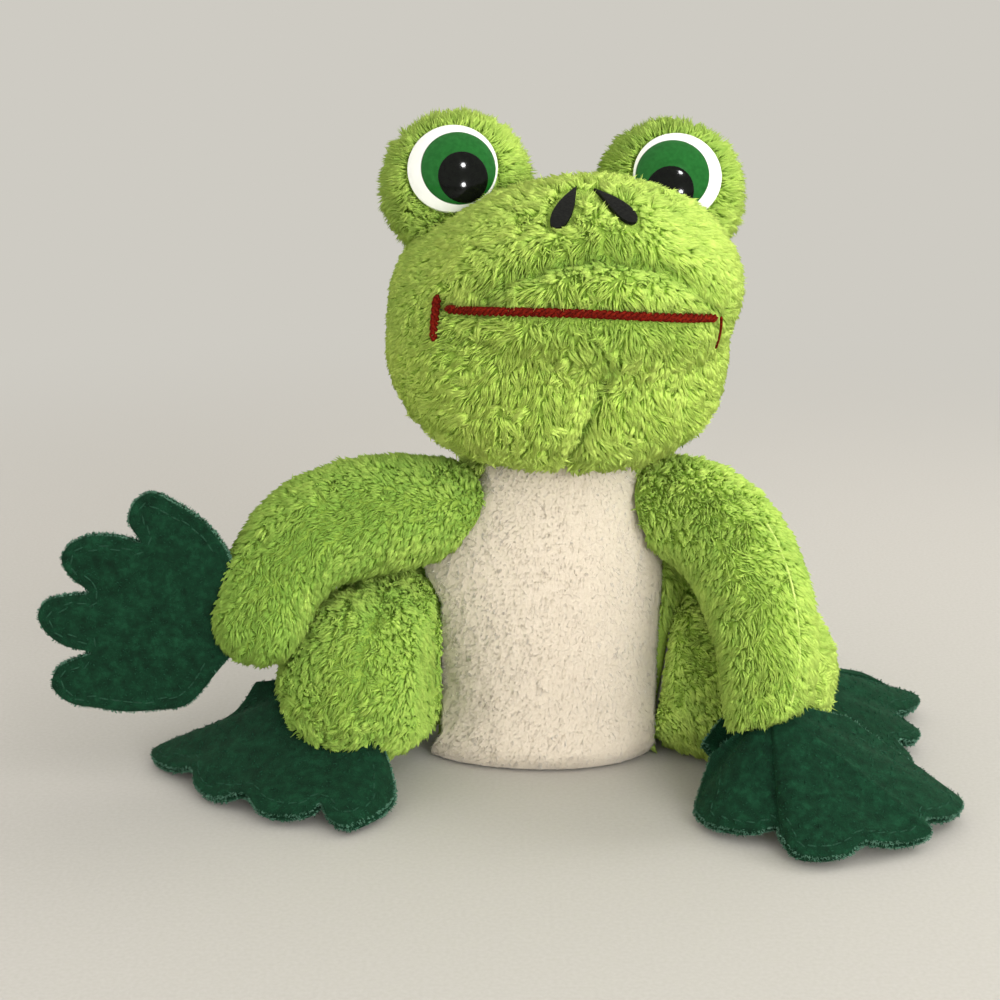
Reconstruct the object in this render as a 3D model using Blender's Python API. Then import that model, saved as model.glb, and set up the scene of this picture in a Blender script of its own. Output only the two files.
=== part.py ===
"""Seated plush frog: stuffed plush body, head and limbs, stitched felt hands and feet, moulded eyes.

All sizes are in metres. The frog sits on the plane z = 0 and faces -Y, so its left side is at +X.
The stuffed forms are surfaces given by formulas. A plush cover is a shell on such a surface, open
where it is sewn to its neighbour, and its filling is the same surface drawn in by the cover's thickness.
"""

import math

import bpy
import numpy as np
from mathutils import Matrix, Vector

# Cloth, gaps and seams
plush_thickness = 0.0025
felt_thickness = 0.0012
sewn_gap = 0.0003
filling_clearance = 0.0006
screw_weld = 0.00001
patch_rim_slope = 1.4
smooth_up_to_degrees = 50.0

# Torso
neck_height = 0.0735
torso_half_width = 0.0315
torso_half_depth = 0.0260
neck_shift = 0.0030
torso_height_shares = (0.0, 0.045, 0.15, 0.30, 0.50, 0.68, 0.85, 1.0)
torso_width_shares = (0.90, 0.90, 0.90, 0.96, 1.00, 1.00, 0.84, 0.60)
torso_depth_shares = (0.84, 0.89, 0.96, 1.01, 1.00, 0.93, 0.80, 0.63)
torso_row_shares = (0.0, 0.047, 0.14, 0.24, 0.34, 0.45, 0.57, 0.65, 0.75, 0.87, 1.0)
belly_columns = 8
back_columns = 16

# Head
head_half_width = 0.0392
head_half_depth = 0.0350
head_half_height = 0.0300
head_fullness = 2.5
head_sunk_share = 0.93
head_forward = 0.0030
head_turn_degrees = 8.0
head_roll_degrees = 2.5
muzzle_half_width = 0.0330
muzzle_half_depth = 0.0265
muzzle_half_height = 0.0215
muzzle_forward = 0.0185
muzzle_rise = 0.0135
muzzle_lean = 0.0030
form_blend = 0.0018
mouth_degrees = 11.0
crown_degrees = 80.0
head_columns = 26
crown_rows = 8
jaw_rows = 7

# Eye mounds
mound_radius = 0.0152
mound_spread = 0.0248
mound_back = 0.0080
mound_rise = 0.0308
mound_columns = 14
mound_rows = 6
mound_back_degrees = 66.0

# Moulded eyes, each with a post and a locking washer inside the mound
eye_radius = 0.0100
eye_dome_height = 0.0042
eye_rim_height = 0.0012
iris_radius = 0.0082
pupil_radius = 0.0054
eye_layer_thickness = 0.0006
eye_post_radius = 0.0022
eye_post_length = 0.0070
washer_radius = 0.0058
washer_thickness = 0.0012
eye_seat_share = 0.80
eye_segments = 24
iris_offset_shares = (0.14, 0.0)
pupil_offset_shares = (0.22, -0.16)
eye_tilt_degrees = 20.0
eye_splay_degrees = 3.0

# Nostrils and mouth
nostril_length = 0.0146
nostril_half_width = 0.0017
nostril_thickness = 0.0008
nostril_degrees = 43.0
nostril_columns = 12
mouth_thread_radius = 0.0010
mouth_centre_degrees = -9.0
mouth_half_degrees = 39.0

# Arms
arm_radius = 0.0115
arm_length = 0.0600
arm_columns = 12
arm_rows = 8
shoulder_height = 0.0605
shoulder_degrees = 62.0
shoulder_sink = 0.0012
limb_end_degrees = (30.0, 60.0)
root_crease = 0.0008

# Legs
leg_radius = 0.0174
leg_length = 0.0300
leg_columns = 16
leg_rows = 5
hip_height = 0.0225
hip_degrees = 90.0
hip_sink = 0.0045
hip_patch_share = 1.30
leg_radius_shares = (0.98, 1.00, 1.02, 1.00)

# Felt hands and feet, cut as four-fingered fans
hand_length = 0.0500
foot_length = 0.0590
finger_half_width = 0.0050
toe_half_width = 0.0054
felt_root_clearance = 0.0010
felt_row_shares = (0.0, 0.5, 1.0)
fingertip_degrees = (-90.0, -45.0, 0.0, 45.0, 90.0)
fingertips = (1, 3, 5, 7)

# Shapes of the frog's right side, then its left side, keyed by the sign of X
belly_edge_degrees = {
    -1: (78.0, 76.0, 74.0, 72.0, 74.0, 76.0, 66.0, 60.0),
    1: (64.0, 63.0, 61.0, 57.0, 54.0, 54.0, 58.0, 53.0),
}
nostril_side_degrees = {-1: -11.5, 1: 5.0}
nostril_lean_degrees = {-1: 15.0, 1: 28.0}
mouth_stitch_spans = {-1: (-0.0068, 0.0026), 1: (-0.0058, 0.0004)}
arm_radius_shares = {
    -1: (1.00, 1.01, 1.03, 1.02, 0.98, 0.92),
    1: (1.00, 1.00, 0.99, 0.98, 0.96, 0.94),
}
arm_path_shares = {
    -1: (
        (0.0, 0.0, 0.0),
        (-0.127, -0.050, 0.017),
        (-0.360, -0.140, 0.025),
        (-0.535, -0.215, -0.040),
        (-0.650, -0.290, -0.170),
        (-0.715, -0.360, -0.318),
    ),
    1: (
        (0.0, 0.0, 0.0),
        (0.070, -0.055, 0.015),
        (0.210, -0.220, -0.025),
        (0.310, -0.415, -0.180),
        (0.352, -0.545, -0.375),
        (0.358, -0.585, -0.575),
    ),
}
leg_path_shares = {
    -1: ((0.0, 0.0, 0.0), (-0.18, -0.06, 0.01), (-0.45, -0.42, 0.02), (-0.61, -0.81, 0.02)),
    1: ((0.0, 0.0, 0.0), (0.19, -0.05, 0.0), (0.49, -0.25, 0.0), (0.75, -0.47, 0.0)),
}
hand_outline_shares = {
    -1: (
        (-0.15, 0.00, 0.32),
        (-0.44, -0.01, 0.58),
        (-0.55, 0.00, 0.37),
        (-0.86, -0.01, 0.29),
        (-0.80, 0.00, 0.135),
        (-1.00, -0.01, 0.02),
        (-0.80, 0.00, -0.17),
        (-0.93, -0.01, -0.38),
        (-0.46, 0.00, -0.46),
        (-0.20, 0.00, -0.27),
    ),
    1: (
        (0.36, 0.10, -0.18),
        (0.89, 0.00, -0.46),
        (0.68, -0.31, -0.44),
        (0.52, -0.51, -0.46),
        (0.35, -0.51, -0.445),
        (0.18, -0.61, -0.46),
        (0.00, -0.46, -0.43),
        (-0.30, -0.28, -0.46),
        (-0.24, -0.05, -0.27),
    ),
}
foot_outline_shares = {
    -1: (
        (-0.36, 0.06, -0.05),
        (-0.87, 0.16, -0.35),
        (-0.71, -0.08, -0.33),
        (-0.60, -0.29, -0.35),
        (-0.45, -0.35, -0.33),
        (-0.28, -0.49, -0.35),
        (-0.135, -0.49, -0.33),
        (0.00, -0.59, -0.35),
        (0.14, -0.40, -0.32),
        (0.10, -0.28, -0.20),
    ),
    1: (
        (0.33, 0.28, -0.12),
        (0.79, 0.54, -0.34),
        (0.67, 0.30, -0.31),
        (0.69, 0.12, -0.34),
        (0.57, -0.05, -0.31),
        (0.58, -0.22, -0.34),
        (0.37, -0.35, -0.31),
        (0.15, -0.46, -0.34),
        (-0.12, -0.42, -0.28),
        (-0.25, -0.33, -0.19),
    ),
}

# Colours as linear red, green and blue, each with a roughness
plush_green = ((0.26, 0.44, 0.09), 0.95)
plush_cream = ((0.66, 0.57, 0.43), 0.95)
wadding_white = ((0.80, 0.80, 0.78), 0.95)
felt_green = ((0.012, 0.055, 0.028), 0.9)
eye_white_gloss = ((0.80, 0.82, 0.80), 0.12)
iris_gloss = ((0.02, 0.14, 0.03), 0.12)
pupil_gloss = ((0.006, 0.007, 0.006), 0.1)
washer_plastic = ((0.75, 0.75, 0.72), 0.4)
nostril_black = ((0.008, 0.008, 0.008), 0.6)
thread_red = ((0.14, 0.012, 0.008), 0.7)


# Shared modelling steps


def curve_through(stations, values, at):
    """Values read at given places from a smooth curve that passes through the stations."""
    stations = np.asarray(stations, float)
    values = np.asarray(values, float)
    at = np.asarray(at, float)
    slopes = np.gradient(values, stations, axis=0)
    span = np.clip(np.searchsorted(stations, at, side="right") - 1, 0, len(stations) - 2)
    width = stations[span + 1] - stations[span]
    part = (at - stations[span]) / width
    if values.ndim > 1:
        part = part[:, None]
        width = width[:, None]
    square, cube = part**2, part**3
    return (
        (2 * cube - 3 * square + 1) * values[span]
        + (cube - 2 * square + part) * width * slopes[span]
        + (3 * square - 2 * cube) * values[span + 1]
        + (cube - square) * width * slopes[span + 1]
    )


def unit(vectors):
    """Vectors of length one, along the last axis."""
    vectors = np.asarray(vectors, float)
    return vectors / np.linalg.norm(vectors, axis=-1, keepdims=True)


def flattened(points, centre, normal, radius):
    """Points beyond a plane moved back onto it, inside a round patch whose rim slopes out again."""
    offset = points - centre
    beyond = offset @ normal
    across = np.linalg.norm(offset - beyond[..., None] * normal, axis=-1)
    allowed = np.maximum(across - radius, 0.0) * patch_rim_slope
    excess = np.maximum(beyond - allowed, 0.0)
    return points - excess[..., None] * normal


def grid_faces(rows, columns, around=True, start=False, end=False, skip=None):
    """Corner numbers of the triangles between rows of points, and of the fans that close an end.

    Rows run along the form and columns run counterclockwise as seen from its far end, so that
    the faces point out. A start pole comes right after the grid's points, and an end pole last.
    """
    spans = columns if around else columns - 1
    faces = []
    for row in range(rows - 1):
        for column in range(spans):
            if skip is None or not skip(column):
                here, beside = row * columns + column, row * columns + (column + 1) % columns
                faces.append((here, beside, beside + columns))
                faces.append((here, beside + columns, here + columns))
    pole = rows * columns
    if start:
        faces += [(pole, (column + 1) % columns, column) for column in range(spans)]
        pole += 1
    if end:
        last = (rows - 1) * columns
        faces += [(last + column, last + (column + 1) % columns, pole) for column in range(spans)]
    return faces


def listed(rings, *poles):
    """A grid's points in one list, followed by its poles."""
    return np.vstack((np.reshape(rings, (-1, 3)), *[np.reshape(pole, (1, 3)) for pole in poles]))


def mesh_of(name, points, faces):
    """A mesh of the points that its faces use."""
    used = sorted({corner for face in faces for corner in face})
    number = {corner: index for index, corner in enumerate(used)}
    mesh = bpy.data.meshes.new(name)
    chosen = [tuple(points[corner]) for corner in used]
    mesh.from_pydata(chosen, [], [[number[corner] for corner in face] for face in faces])
    return mesh


def shell_of(name, outer, inner, faces):
    """A closed shell: an outer sheet, the same sheet turned over inside it, and rims that join them."""
    count = len(outer)
    edges = {(face[place - 1], face[place]) for face in faces for place in range(len(face))}
    rims = [(b, a, a + count, b + count) for a, b in sorted(edges) if (b, a) not in edges]
    inside = [[corner + count for corner in reversed(face)] for face in faces]
    return mesh_of(name, np.vstack((outer, inner)), faces + inside + rims)


def material_named(name, finish):
    """A plain Principled material."""
    colour, roughness = finish
    material = bpy.data.materials.new(name)
    material.use_nodes = True
    shader = material.node_tree.nodes["Principled BSDF"]
    shader.inputs["Base Color"].default_value = (*colour, 1.0)
    shader.inputs["Roughness"].default_value = roughness
    shader.inputs["Metallic"].default_value = 0.0
    return material


def place(name, data, finish, parent, matrix=None):
    """An object for a mesh or a curve, set in its own frame if it has one, and carried by its joint."""
    data.name = name
    data.materials.append(material_named(name, finish))
    if isinstance(data, bpy.types.Mesh):
        data.shade_smooth()
        data.set_sharp_from_angle(angle=math.radians(smooth_up_to_degrees))
    item = bpy.data.objects.new(name, data)
    bpy.context.scene.collection.objects.link(item)
    if matrix is not None:
        item.matrix_world = matrix
        bpy.context.view_layer.update()
    carry(item, parent)
    return item


def carry(item, parent):
    """Parents an object and leaves it where it is in the world."""
    if parent is not None:
        item.parent = parent
        item.matrix_parent_inverse = parent.matrix_world.inverted()


def hidden_cutter(name, mesh, matrix=None):
    """A form that only cuts others."""
    item = bpy.data.objects.new(name, mesh)
    item.hide_render = True
    item.display_type = "WIRE"
    bpy.context.scene.collection.objects.link(item)
    if matrix is not None:
        item.matrix_world = matrix
    return item


def cut_away(item, cutter):
    """A Boolean difference."""
    modifier = item.modifiers.new("cut", "BOOLEAN")
    modifier.operation = "DIFFERENCE"
    modifier.solver = "EXACT"
    modifier.object = cutter


def frame_matrix(origin, first, second, third):
    """A matrix that places a frame by its origin and its three axes."""
    matrix = Matrix.Identity(4)
    for column, axis in enumerate((first, second, third)):
        matrix.col[column][:3] = axis
    matrix.translation = Vector(origin)
    return matrix


def joint_empty(name, point, axis, parent=None):
    """An empty on a joint's axis, with its own Z along the axis."""
    item = bpy.data.objects.new(name, None)
    bpy.context.scene.collection.objects.link(item)
    item.empty_display_size = arm_radius
    turned = Vector(axis).to_track_quat("Z", "Y").to_matrix().to_4x4()
    item.matrix_world = Matrix.Translation(Vector(point)) @ turned
    bpy.context.view_layer.update()
    carry(item, parent)
    bpy.context.view_layer.update()
    return item


# Torso: a pear of plush that sits flat, with a cream panel let into its front


def plain_torso(heights, angles, outset=0.0):
    """Points on the torso before it is flattened: an ellipse at each height."""
    share = np.clip(heights / neck_height, 0.0, 1.0)
    half_width = curve_through(torso_height_shares, torso_width_shares, share.ravel())
    half_depth = curve_through(torso_height_shares, torso_depth_shares, share.ravel())
    half_width = half_width.reshape(share.shape) * torso_half_width + outset
    half_depth = half_depth.reshape(share.shape) * torso_half_depth + outset
    across = neck_shift * share + half_width * np.cos(angles)
    return np.stack((across, half_depth * np.sin(angles), heights), axis=-1)


def limb_root(height, degrees_from_front, side, sink, radius):
    """Where a limb is sewn on: a point on the torso, its outward normal, and the patch's radius."""
    angle = math.radians(-90.0 + side * degrees_from_front)
    heights = np.array((height, height + sewn_gap, height))
    angles = np.array((angle, angle, angle + math.radians(1.0)))
    here, above, beside = plain_torso(heights, angles)
    normal = unit(np.cross(beside - here, above - here))
    return {"point": here - sink * normal, "normal": normal, "radius": radius}


right, left = -1, 1
side_names = {right: "right", left: "left"}
shoulders = {
    side: limb_root(shoulder_height, shoulder_degrees, side, shoulder_sink, arm_radius)
    for side in (right, left)
}
hips = {
    side: limb_root(hip_height, hip_degrees, side, hip_sink, leg_radius * hip_patch_share)
    for side in (right, left)
}


def torso_surface(heights, angles, outset=0.0):
    """Points on the torso, flattened where the arms and legs are sewn on."""
    points = plain_torso(heights, angles, outset)
    for root in (*shoulders.values(), *hips.values()):
        centre = root["point"] + outset * root["normal"]
        points = flattened(points, centre, root["normal"], root["radius"])
    return points


def belly_edges(heights):
    """The angles of the belly panel's right and left edges, one pair for each height."""
    share = heights / neck_height
    edges = [
        side * curve_through(torso_height_shares, belly_edge_degrees[side], share)
        for side in (right, left)
    ]
    return np.radians(np.stack(edges, axis=-1)) - math.pi / 2


def torso_rings(heights, outset):
    """Rings of the torso whose first columns cross the belly, from one of its seams to the other."""
    start, end = belly_edges(heights).T[..., None]
    front = start + np.linspace(0.0, 1.0, belly_columns + 1) * (end - start)
    rest = end + np.linspace(0.0, 1.0, back_columns + 1)[1:-1] * (2 * math.pi + start - end)
    turns = np.hstack((front, rest))
    return torso_surface(np.broadcast_to(heights[:, None], turns.shape), turns, outset)


def belly_rings(heights, outset):
    """Rows of the belly panel, drawn in from the cover's edges by the sewn gap."""
    start, end = belly_edges(heights).T[..., None]
    gap = sewn_gap / (torso_half_width - plush_thickness)
    turns = start + gap + np.linspace(0.0, 1.0, belly_columns + 1) * (end - start - 2 * gap)
    return torso_surface(np.broadcast_to(heights[:, None], turns.shape), turns, outset)


def with_floor(heights, lowest):
    """The rows' heights with the first one at the given height."""
    return np.concatenate(((lowest,), heights[1:]))


def make_torso():
    top = neck_height - sewn_gap / 2
    heights = top * np.array(torso_row_shares)
    inner_heights = with_floor(heights, plush_thickness)
    columns = belly_columns + back_columns
    outer = listed(torso_rings(heights, 0.0), (0.0, 0.0, 0.0))
    inner = listed(torso_rings(inner_heights, -plush_thickness), (0.0, 0.0, plush_thickness))
    faces = grid_faces(len(heights), columns, start=True, skip=lambda column: column < belly_columns)
    place("torso_cover", shell_of("torso_cover", outer, inner, faces), plush_green, None)

    mitre = sewn_gap * math.sqrt(2.0)
    outer = listed(belly_rings(with_floor(heights, mitre), 0.0))
    inner = listed(belly_rings(with_floor(heights, plush_thickness + mitre), -plush_thickness))
    faces = grid_faces(len(heights), belly_columns + 1, around=False)
    place("belly_panel", shell_of("belly_panel", outer, inner, faces), plush_cream, None)

    drawn_in = plush_thickness + filling_clearance
    rings = torso_rings(with_floor(heights, drawn_in), -drawn_in)
    points = listed(rings, rings[0].mean(axis=0), rings[-1].mean(axis=0))
    faces = grid_faces(len(heights), columns, start=True, end=True)
    place("torso_filling", mesh_of("torso_filling", points, faces), wadding_white, None)


# Head: a wide ball of plush with a forward muzzle, flat below where it is sewn to the neck

neck_centre = np.array((neck_shift, 0.0, neck_height))
neck_plane = neck_height + sewn_gap / 2
head_centre = neck_centre + np.array((0.0, -head_forward, head_half_height * head_sunk_share))
head_radii = np.array((head_half_width, head_half_depth, head_half_height))
muzzle_centre = np.array((muzzle_lean, -muzzle_forward, muzzle_rise))
muzzle_radii = np.array((muzzle_half_width, muzzle_half_depth, muzzle_half_height))


def head_radius(directions, outset=0.0):
    """Distance from the head's centre to its surface, as a soft maximum of skull and muzzle."""
    skull = (np.abs(directions / (head_radii + outset)) ** head_fullness).sum(axis=-1)
    skull_reach = skull ** (-1.0 / head_fullness)
    along = directions / (muzzle_radii + outset)
    start = -muzzle_centre / (muzzle_radii + outset)
    a = (along**2).sum(axis=-1)
    b = (along * start).sum(axis=-1)
    c = (start**2).sum() - 1.0
    muzzle_reach = (-b + np.sqrt(np.maximum(b**2 - a * c, 0.0))) / a
    total = np.exp(skull_reach / form_blend) + np.exp(muzzle_reach / form_blend)
    return form_blend * np.log(total)


def head_direction(elevation, azimuth):
    """Unit vectors in the head's own frame: azimuth 0 is straight ahead, positive to its left."""
    elevation = np.radians(elevation)
    azimuth = np.radians(azimuth)
    return np.stack(
        (
            np.cos(elevation) * np.sin(azimuth),
            -np.cos(elevation) * np.cos(azimuth),
            np.sin(elevation) * np.ones_like(azimuth),
        ),
        axis=-1,
    )


def head_to_world(points):
    """Points of the head's own frame tilted, turned and moved to its place on the neck."""
    tilt = Matrix.Rotation(math.radians(head_roll_degrees), 3, "Y")
    turned = Matrix.Rotation(math.radians(head_turn_degrees), 3, "Z") @ tilt
    return np.asarray(points) @ np.array(turned).T + head_centre


def head_surface(elevation, azimuth, outset=0.0, lift=0.0):
    """World points on the head."""
    directions = head_direction(elevation, azimuth)
    reach = head_radius(directions, outset) + lift
    return head_to_world(directions * reach[..., None])


head_azimuths = np.linspace(0.0, 360.0, head_columns, endpoint=False)


def neck_elevations(outset):
    """The elevation in each column at which the head's surface meets its flat underside."""
    low = np.full(head_columns, -89.0)
    high = np.full(head_columns, mouth_degrees)
    for _ in range(40):
        middle = (low + high) / 2
        above = head_surface(middle, head_azimuths, outset)[:, 2] > neck_plane - outset
        low = np.where(above, low, middle)
        high = np.where(above, middle, high)
    return high


def head_grid(lowest, highest, rows, outset):
    """Rings of the head between two elevations, of which the lowest may differ by column."""
    share = np.linspace(0.0, 1.0, rows)[:, None]
    elevation = lowest + (highest - lowest) * share
    elevation, azimuth = np.broadcast_arrays(elevation, head_azimuths)
    return head_surface(elevation, azimuth, outset)


def head_crown(outset):
    """The point at the very top of the head."""
    return head_surface(np.array((90.0,)), np.array((0.0,)), outset)[0]


def whole_head(outset):
    """Points of the head as one closed form, whose rows are the same as the two covers' rows."""
    lower = head_grid(neck_elevations(outset), mouth_degrees, jaw_rows, outset)
    upper = head_grid(mouth_degrees, crown_degrees, crown_rows, outset)
    rings = np.concatenate((lower, upper[1:]))
    return listed(rings, lower[0].mean(axis=0), head_crown(outset)), len(rings)


def make_head(neck):
    seam = math.degrees(sewn_gap / (head_half_depth - plush_thickness))
    outer, inner = [
        listed(head_grid(mouth_degrees, crown_degrees, crown_rows, outset), head_crown(outset))
        for outset in (0.0, -plush_thickness)
    ]
    faces = grid_faces(crown_rows, head_columns, end=True)
    name = "head_top_cover"
    top_cover = place(name, shell_of(name, outer, inner, faces), plush_green, neck)

    sheets = []
    for outset in (0.0, -plush_thickness):
        rings = head_grid(neck_elevations(outset), mouth_degrees - seam, jaw_rows, outset)
        sheets.append(listed(rings, rings[0].mean(axis=0)))
    faces = grid_faces(jaw_rows, head_columns, start=True)
    place("head_jaw_cover", shell_of("head_jaw_cover", *sheets, faces), plush_green, neck)

    points, rows = whole_head(-plush_thickness - filling_clearance)
    faces = grid_faces(rows, head_columns, start=True, end=True)
    place("head_filling", mesh_of("head_filling", points, faces), wadding_white, neck)
    return top_cover


# Eye mounds: two small stuffed balls let into the top of the head, each flat where its eye sits


def eye_frame(side):
    """The mound's centre, and the eye's directions to its side, above it and ahead of it."""
    centre = head_to_world(np.array((side * mound_spread, mound_back, mound_rise)))
    tilt, splay = math.radians(eye_tilt_degrees), math.radians(side * eye_splay_degrees)
    ahead = np.array(
        (math.sin(splay) * math.cos(tilt), -math.cos(splay) * math.cos(tilt), math.sin(tilt))
    )
    sideways = unit(np.cross((0.0, 0.0, 1.0), -ahead)) * -1.0
    return centre, sideways, np.cross(ahead, sideways), ahead


def ball_rings(side, outset, bends):
    """Rings of a mound's ball round the eye's axis, from back to front, cut flat in front."""
    centre, sideways, above, ahead = eye_frame(side)
    radius = mound_radius + outset
    turns = np.linspace(0.0, 2 * math.pi, mound_columns, endpoint=False)
    bend, turn = np.meshgrid(np.radians(bends), turns, indexing="ij")
    wide = radius * np.cos(bend)
    return (
        centre
        + (wide * np.cos(turn))[..., None] * sideways
        + (wide * np.sin(turn))[..., None] * above
        + (radius * np.sin(bend))[..., None] * ahead
    )


def flat_ring(side, radius, height):
    """A ring round the eye's axis at a height above the mound's centre."""
    centre, sideways, above, ahead = eye_frame(side)
    turns = np.linspace(0.0, 2 * math.pi, mound_columns, endpoint=False)[:, None]
    flat = np.cos(turns) * sideways + np.sin(turns) * above
    return (centre + radius * flat + height * ahead)[None]


def mound_sheet(side, outset, hole_radius):
    """Points of a mound from its back to its flat front, which ends in a round hole."""
    centre, sideways, above, ahead = eye_frame(side)
    seat = mound_radius * eye_seat_share + outset
    edge = math.degrees(math.asin(seat / (mound_radius + outset)))
    bends = np.linspace(-mound_back_degrees, edge, mound_rows)
    rings = np.concatenate((ball_rings(side, outset, bends), flat_ring(side, hole_radius, seat)))
    return rings, centre - (mound_radius + outset) * ahead


def dome_curve():
    """The radius of the ball that the eye's dome is part of."""
    return (eye_radius**2 + eye_dome_height**2) / (2 * eye_dome_height)


def dome_height(distance, lift=0.0):
    """Height above the eye's back of a ball at a given lift over its dome, away from its axis."""
    low = eye_rim_height + eye_dome_height - dome_curve()
    return low + np.sqrt((dome_curve() + lift) ** 2 - distance**2)


def turned_object(name, profile, finish, matrix, parent, ring=False):
    """A profile of (radius, height) pairs, listed from the top down, turned round its own Z."""
    mesh = bpy.data.meshes.new(name)
    points = [(radius, 0.0, height) for radius, height in profile]
    count = len(points)
    edges = [(place, (place + 1) % count) for place in range(count if ring else count - 1)]
    mesh.from_pydata(points, edges, [])
    item = place(name, mesh, finish, parent, matrix)
    screw = item.modifiers.new("turn", "SCREW")
    screw.steps = eye_segments
    screw.render_steps = eye_segments
    screw.use_merge_vertices = True
    screw.merge_threshold = screw_weld
    screw.use_smooth_shade = True


def dome_layer(name, radius, offset, lift, finish, matrix, parent):
    """A round layer that lies on the dome off its axis, such as the iris or the pupil."""
    turns = np.linspace(0.0, 2 * math.pi, eye_segments, endpoint=False)
    rim = np.stack((np.cos(turns), np.sin(turns)), axis=-1)
    flat = np.concatenate([rim * radius * share for share in (1.0, 0.55)] + [np.zeros((1, 2))])
    flat = flat + np.array(offset)
    distance = np.linalg.norm(flat, axis=-1)
    inner, outer = [
        np.column_stack((flat, dome_height(distance, lift + more)))
        for more in (0.0, eye_layer_thickness)
    ]
    faces = grid_faces(2, eye_segments, end=True)
    place(name, shell_of(name, outer, inner, faces), finish, parent, matrix)


def eye_notch(side, matrix):
    """A hidden disc, a gap larger than the eye, that clears the head's cover round the eye."""
    turns = np.linspace(0.0, 2 * math.pi, eye_segments, endpoint=False)
    radius = eye_radius + sewn_gap
    flat = np.stack((np.cos(turns) * radius, np.sin(turns) * radius), axis=-1)
    low, high = -sewn_gap, 2 * (eye_rim_height + eye_dome_height)
    rings = [np.column_stack((flat, np.full(eye_segments, height))) for height in (low, high)]
    points = listed(rings, (0.0, 0.0, low), (0.0, 0.0, high))
    faces = grid_faces(2, eye_segments, start=True, end=True)
    name = f"{side_names[side]}_eye_notch"
    return hidden_cutter(name, mesh_of(name, points, faces), matrix)


def make_eye(side, neck, head_cutter, head_cover):
    word = side_names[side]
    centre, sideways, above, ahead = eye_frame(side)
    seat = centre + (mound_radius * eye_seat_share + sewn_gap) * ahead
    matrix = frame_matrix(seat, sideways, above, ahead)

    bore = eye_post_radius + sewn_gap
    outer, inner = [
        mound_sheet(side, outset, bore) for outset in (0.0, -plush_thickness)
    ]
    faces = grid_faces(len(outer[0]), mound_columns, start=True)
    name = f"{word}_mound_cover"
    cover = place(name, shell_of(name, listed(*outer), listed(*inner), faces), plush_green, neck)
    cut_away(cover, head_cutter)
    if side == left:
        cut_away(head_cover, eye_notch(side, matrix))

    drawn_in = plush_thickness + filling_clearance
    pocket = washer_radius + sewn_gap
    rings, back = mound_sheet(side, -drawn_in, pocket)
    floor = mound_radius * eye_seat_share - eye_post_length - sewn_gap
    rings = np.concatenate((rings, flat_ring(side, pocket, floor)))
    faces = grid_faces(len(rings), mound_columns, start=True, end=True)
    name = f"{word}_mound_filling"
    points = listed(rings, back, centre + floor * ahead)
    cut_away(place(name, mesh_of(name, points, faces), wadding_white, neck), head_cutter)

    steps = eye_radius * np.linspace(0.0, 1.0, 7)
    profile = [
        *zip(steps, dome_height(steps)),
        (eye_radius, 0.0),
        (eye_post_radius, 0.0),
        (eye_post_radius, -eye_post_length),
        (0.0, -eye_post_length),
    ]
    turned_object(f"{word}_eye_white", profile, eye_white_gloss, matrix, neck)
    offset = (-side * iris_offset_shares[0] * eye_radius, iris_offset_shares[1] * eye_radius)
    dome_layer(f"{word}_eye_iris", iris_radius, offset, sewn_gap, iris_gloss, matrix, neck)
    offset = (-side * pupil_offset_shares[0] * eye_radius, pupil_offset_shares[1] * eye_radius)
    lift = 2 * sewn_gap + eye_layer_thickness
    dome_layer(f"{word}_eye_pupil", pupil_radius, offset, lift, pupil_gloss, matrix, neck)
    washer_front = -plush_thickness - 2 * sewn_gap
    washer = [
        (bore, washer_front),
        (washer_radius, washer_front),
        (washer_radius, washer_front - washer_thickness),
        (bore, washer_front - washer_thickness),
    ]
    turned_object(f"{word}_eye_washer", washer, washer_plastic, matrix, neck, ring=True)


# Nostrils and mouth: two felt drops and a line of red thread with a stitch at each end


def make_nostril(side, neck):
    """A drop whose point is at the top, laid on the muzzle and leaning towards the other one."""
    name = f"{side_names[side]}_nostril"
    outward = head_direction(nostril_degrees, np.array(nostril_side_degrees[side]))
    lean = math.radians(side * nostril_lean_degrees[side])
    sideways = unit(np.cross((0.0, 0.0, 1.0), outward))
    upward = np.cross(outward, sideways)
    along = math.cos(lean) * upward - math.sin(lean) * sideways
    over = math.cos(lean) * sideways + math.sin(lean) * upward
    turns = np.linspace(0.0, 2 * math.pi, nostril_columns, endpoint=False)
    length = nostril_length / 2 * -np.cos(turns)
    width = nostril_half_width * np.sin(turns) * (1.0 + 0.55 * np.cos(turns))
    drop = length[:, None] * along + width[:, None] * over
    middle = outward * head_radius(outward)
    flat = np.concatenate((middle + drop, middle + 0.5 * drop, middle[None]))
    toward = unit(flat)
    inner, outer = [
        head_to_world(toward * (head_radius(toward) + lift)[:, None])
        for lift in (sewn_gap, sewn_gap + nostril_thickness)
    ]
    faces = grid_faces(2, nostril_columns, end=True)
    place(name, shell_of(name, outer, inner, faces), nostril_black, neck)


def thread_object(name, points, parent):
    """A thread along points, as a round tube with closed ends."""
    curve = bpy.data.curves.new(name, "CURVE")
    curve.dimensions = "3D"
    curve.bevel_depth = mouth_thread_radius
    curve.bevel_resolution = 1
    curve.use_fill_caps = True
    spline = curve.splines.new("POLY")
    spline.points.add(len(points) - 1)
    for item, point in zip(spline.points, points):
        item.co = (*point, 1.0)
    place(name, curve, thread_red, parent)


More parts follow.
